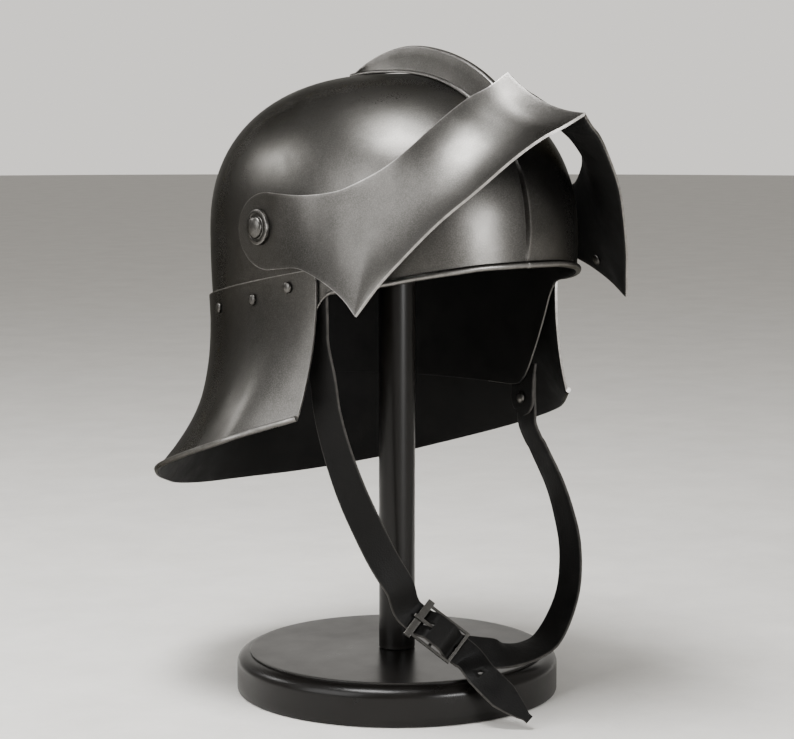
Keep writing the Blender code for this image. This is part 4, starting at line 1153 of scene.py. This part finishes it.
def makeStrapEnds():
    around = aroundFor(strapShape["tabAhead"])
    foot = skullShape["brow"] - skullShape["earDrop"]
    radius, wall = strapShape["tabRadius"], strapShape["wall"]
    stand = fits["gap"] + 0.0002 + 0.5 * wall
    face = -skullNormal(around, foot + 0.002)
    points = []
    for share in (1.0, 0.65, 0.30, 0.0):
        height = foot + strapShape["tabLength"] * (share - 0.58)
        place = skullAt(around, max(height, foot), stand)
        points.append((place[0], place[1], height, *face))
    marks, places, runs, faces = strapSections(points, 0.0012)
    overs = [max(radius - (marks[-1] - mark), 0.0) for mark in marks]
    widths = [max(2 * math.sqrt(max(radius ** 2 - over ** 2, 0.0)), 0.35 * radius) for over in overs]
    tab = band("strapTab", places, runs, faces, [wall] * len(marks), widths)
    dress(tab, "helmet", "strap_tab")
    index = int(np.argmin(np.abs(marks - (marks[-1] - radius))))
    start = np.array(longStrapTop()[1])
    profile = domeRows(strapShape["rivetRadius"], strapShape["rivetHeight"])
    for name, place, way in (("right", places[index], faces[index]), ("left", start[:3], -start[3:])):
        seat = place + way * (0.5 * wall + fits["gap"])
        rivet = turned("strapRivetHead_" + name, profile, seat, way, buckleSteel, 32)
        dress(rivet, "helmet", "strap_rivet_" + name)


# buckle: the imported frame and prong, with their edges eased
def makeBuckle():
    for name in ("buckle_frame", "buckle_prong"):
        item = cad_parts[name]
        item.data.materials.clear()
        item.data.materials.append(buckleSteel)
        weld = item.modifiers.new("weld", "WELD")
        weld.merge_threshold = 0.00002
        ease = item.modifiers.new("ease", "BEVEL")
        ease.width = 0.00028
        ease.segments = 3
        ease.limit_method = "ANGLE"
        ease.angle_limit = math.radians(40)
        ease.harden_normals = True


# stand: turned base with a rolled shoulder and a small step, post and hidden head
standShape = {
    "baseRadius": 0.100,
    "baseThickness": 0.025,
    "shoulder": 0.008,
    "stepDepth": 0.0012,
    "postRadius": 0.01125,
    "headRadius": 0.034,
    "headDepth": 0.022,
    "headFit": 0.0006,
}

# Height at which the stand's head meets the skull's inner face, with its fit.
def innerCrown(radius):
    share = (radius + standShape["headFit"]) / (skullShape["halfWidth"] - skullShape["wall"])
    return domeAt(share, skullShape["crown"] - skullShape["wall"]) - standShape["headFit"]


def makeStand():
    radius, thick, shoulder = pick(standShape, "baseRadius baseThickness shoulder")
    head, deep, post = pick(standShape, "headRadius headDepth postRadius")
    inner, drop, rise = radius - shoulder, thick - standShape["stepDepth"], shoulder - standShape["stepDepth"]
    baseRows = [(radius - 0.0015, 0.0), (radius - 0.0004, 0.0004), (radius, 0.0015)]
    baseRows += [(radius, share * (thick - shoulder)) for share in (0.35, 0.70, 1.0)]
    for turn in np.radians(range(9, 91, 9)):
        baseRows.append((inner + shoulder * math.cos(turn), drop - rise + rise * math.sin(turn)))
    step = ((0.0, 0.0004, 0.3), (0.0002, 0.0001, 1.0), (0.0006, 0.0, 0.5))
    baseRows += [(inner - out, thick - down, wornAndGlint) for out, down, wornAndGlint in step]
    baseRows += [(share * inner, thick) for share in (0.97, 0.8, 0.6, 0.4, 0.2)]
    headFoot = innerCrown(head) - deep
    low, high = thick + fits["gap"], headFoot - fits["gap"]
    postRows = [(post - 0.0005, low), (post, low + 0.0005, 0.6), (post, low + 0.003)]
    postRows += [(post, low + (high - low) * share) for share in (0.25, 0.5, 0.75)]
    postRows += [(post, high - 0.0005), (post - 0.0005, high)]
    brim = ((0.60, 0.0), (0.97, 0.21), (1.0, 0.28))
    headRows = [(head * share, headFoot + deep * up) for share, up in brim]
    headRows += [(head * share, innerCrown(head * share)) for share in (1.0, 0.85, 0.7, 0.5, 0.3, 0.12)]
    for name, rows, sides in (("Base", baseRows, 128), ("Post", postRows, 64), ("Head", headRows, 48)):
        item = turned("stand" + name, rows, (0, 0, 0), (0, 0, 1), standLacquer, sides)
        dress(item, "helmet", "stand_" + name.lower())


makeSkull()
print("skull")
makeComb()
makeGuard()
makeNeckRivets()
print("comb and neck guard")
makeVisor()
makeStud()
makePivots()
print("visor and pivots")
makeLongStrap()
makeShortStrap()
makeStrapEnds()
makeBuckle()
print("chin strap and buckle")
makeStand()
print("stand")


# floor: a wide pale ground
ground = {"radius": 9.0, "pale": (0.82, 0.80, 0.76), "paler": (0.90, 0.88, 0.84)}


def makeFloor():
    mesh = bmesh.new()
    bmesh.ops.create_circle(mesh, cap_ends=True, segments=96, radius=ground["radius"])
    data = bpy.data.meshes.new("floor")
    mesh.to_mesh(data)
    mesh.free()
    material, tree, where = nodesFor("paleGround")
    fine, grit = noiseNode(tree, where, 14.0, 8.0, 0.7), noiseNode(tree, where, 240.0, 6.0, 0.7)
    colour = rampNode(tree, fine, (0.35, ground["pale"]), (0.65, ground["paler"]))
    shade(tree, colour, rangeNode(tree, fine, 0.75, 0.9), [(grit, 0.25, 0.001)], {})
    data.materials.append(material)
    item = bpy.data.objects.new("floor", data)
    item.location.z = -0.0002
    bpy.context.scene.collection.objects.link(item)


# soft studio light: overhead box, low front box, back rim and a weak fill at the side
lamps = (
    ("overhead", (-0.40, -0.12, 1.40), (0.0, 0.0, 0.30), 0.50, 28.0),
    ("frontLow", (0.06, -1.78, 0.40), (0.0, 0.0, 0.28), 0.46, 19.0),
    ("backRim", (-0.72, 1.16, 0.92), (0.0, 0.0, 0.30), 0.30, 4.4),
    ("fill", (-1.70, -0.10, 0.95), (0.0, 0.0, 0.24), 1.30, 23.0),
)
# the sky is dim but for a pale patch behind the helmet
sky = {
    "colour": (0.94, 0.91, 0.86),
    "toward": (0.61, 0.79, 0.02),
    "reach": (0.72, 0.95),
    "strength": (0.34, 1.15),
}


def makeLight():
    for name, place, aim, size, watts in lamps:
        lamp = bpy.data.lights.new(name, "AREA")
        lamp.shape = "SQUARE"
        lamp.size = size
        lamp.energy = watts
        item = bpy.data.objects.new(name, lamp)
        item.location = place
        item.rotation_euler = (Vector(aim) - Vector(place)).to_track_quat("-Z", "Y").to_euler()
        bpy.context.scene.collection.objects.link(item)
    world = bpy.data.worlds.new("studio")
    world.use_nodes = True
    tree = world.node_tree
    around = tree.nodes.new("ShaderNodeTexCoord").outputs["Generated"]
    facing = tree.nodes.new("ShaderNodeVectorMath")
    facing.operation = "DOT_PRODUCT"
    fill(tree, facing, {0: around, 1: sky["toward"]})
    strength = rangeNode(tree, facing.outputs["Value"], *sky["strength"], *sky["reach"])
    fill(tree, tree.nodes["Background"], {"Color": (*sky["colour"], 1.0), "Strength": strength})
    bpy.context.scene.world = world


makeFloor()
makeLight()
print("floor and light")
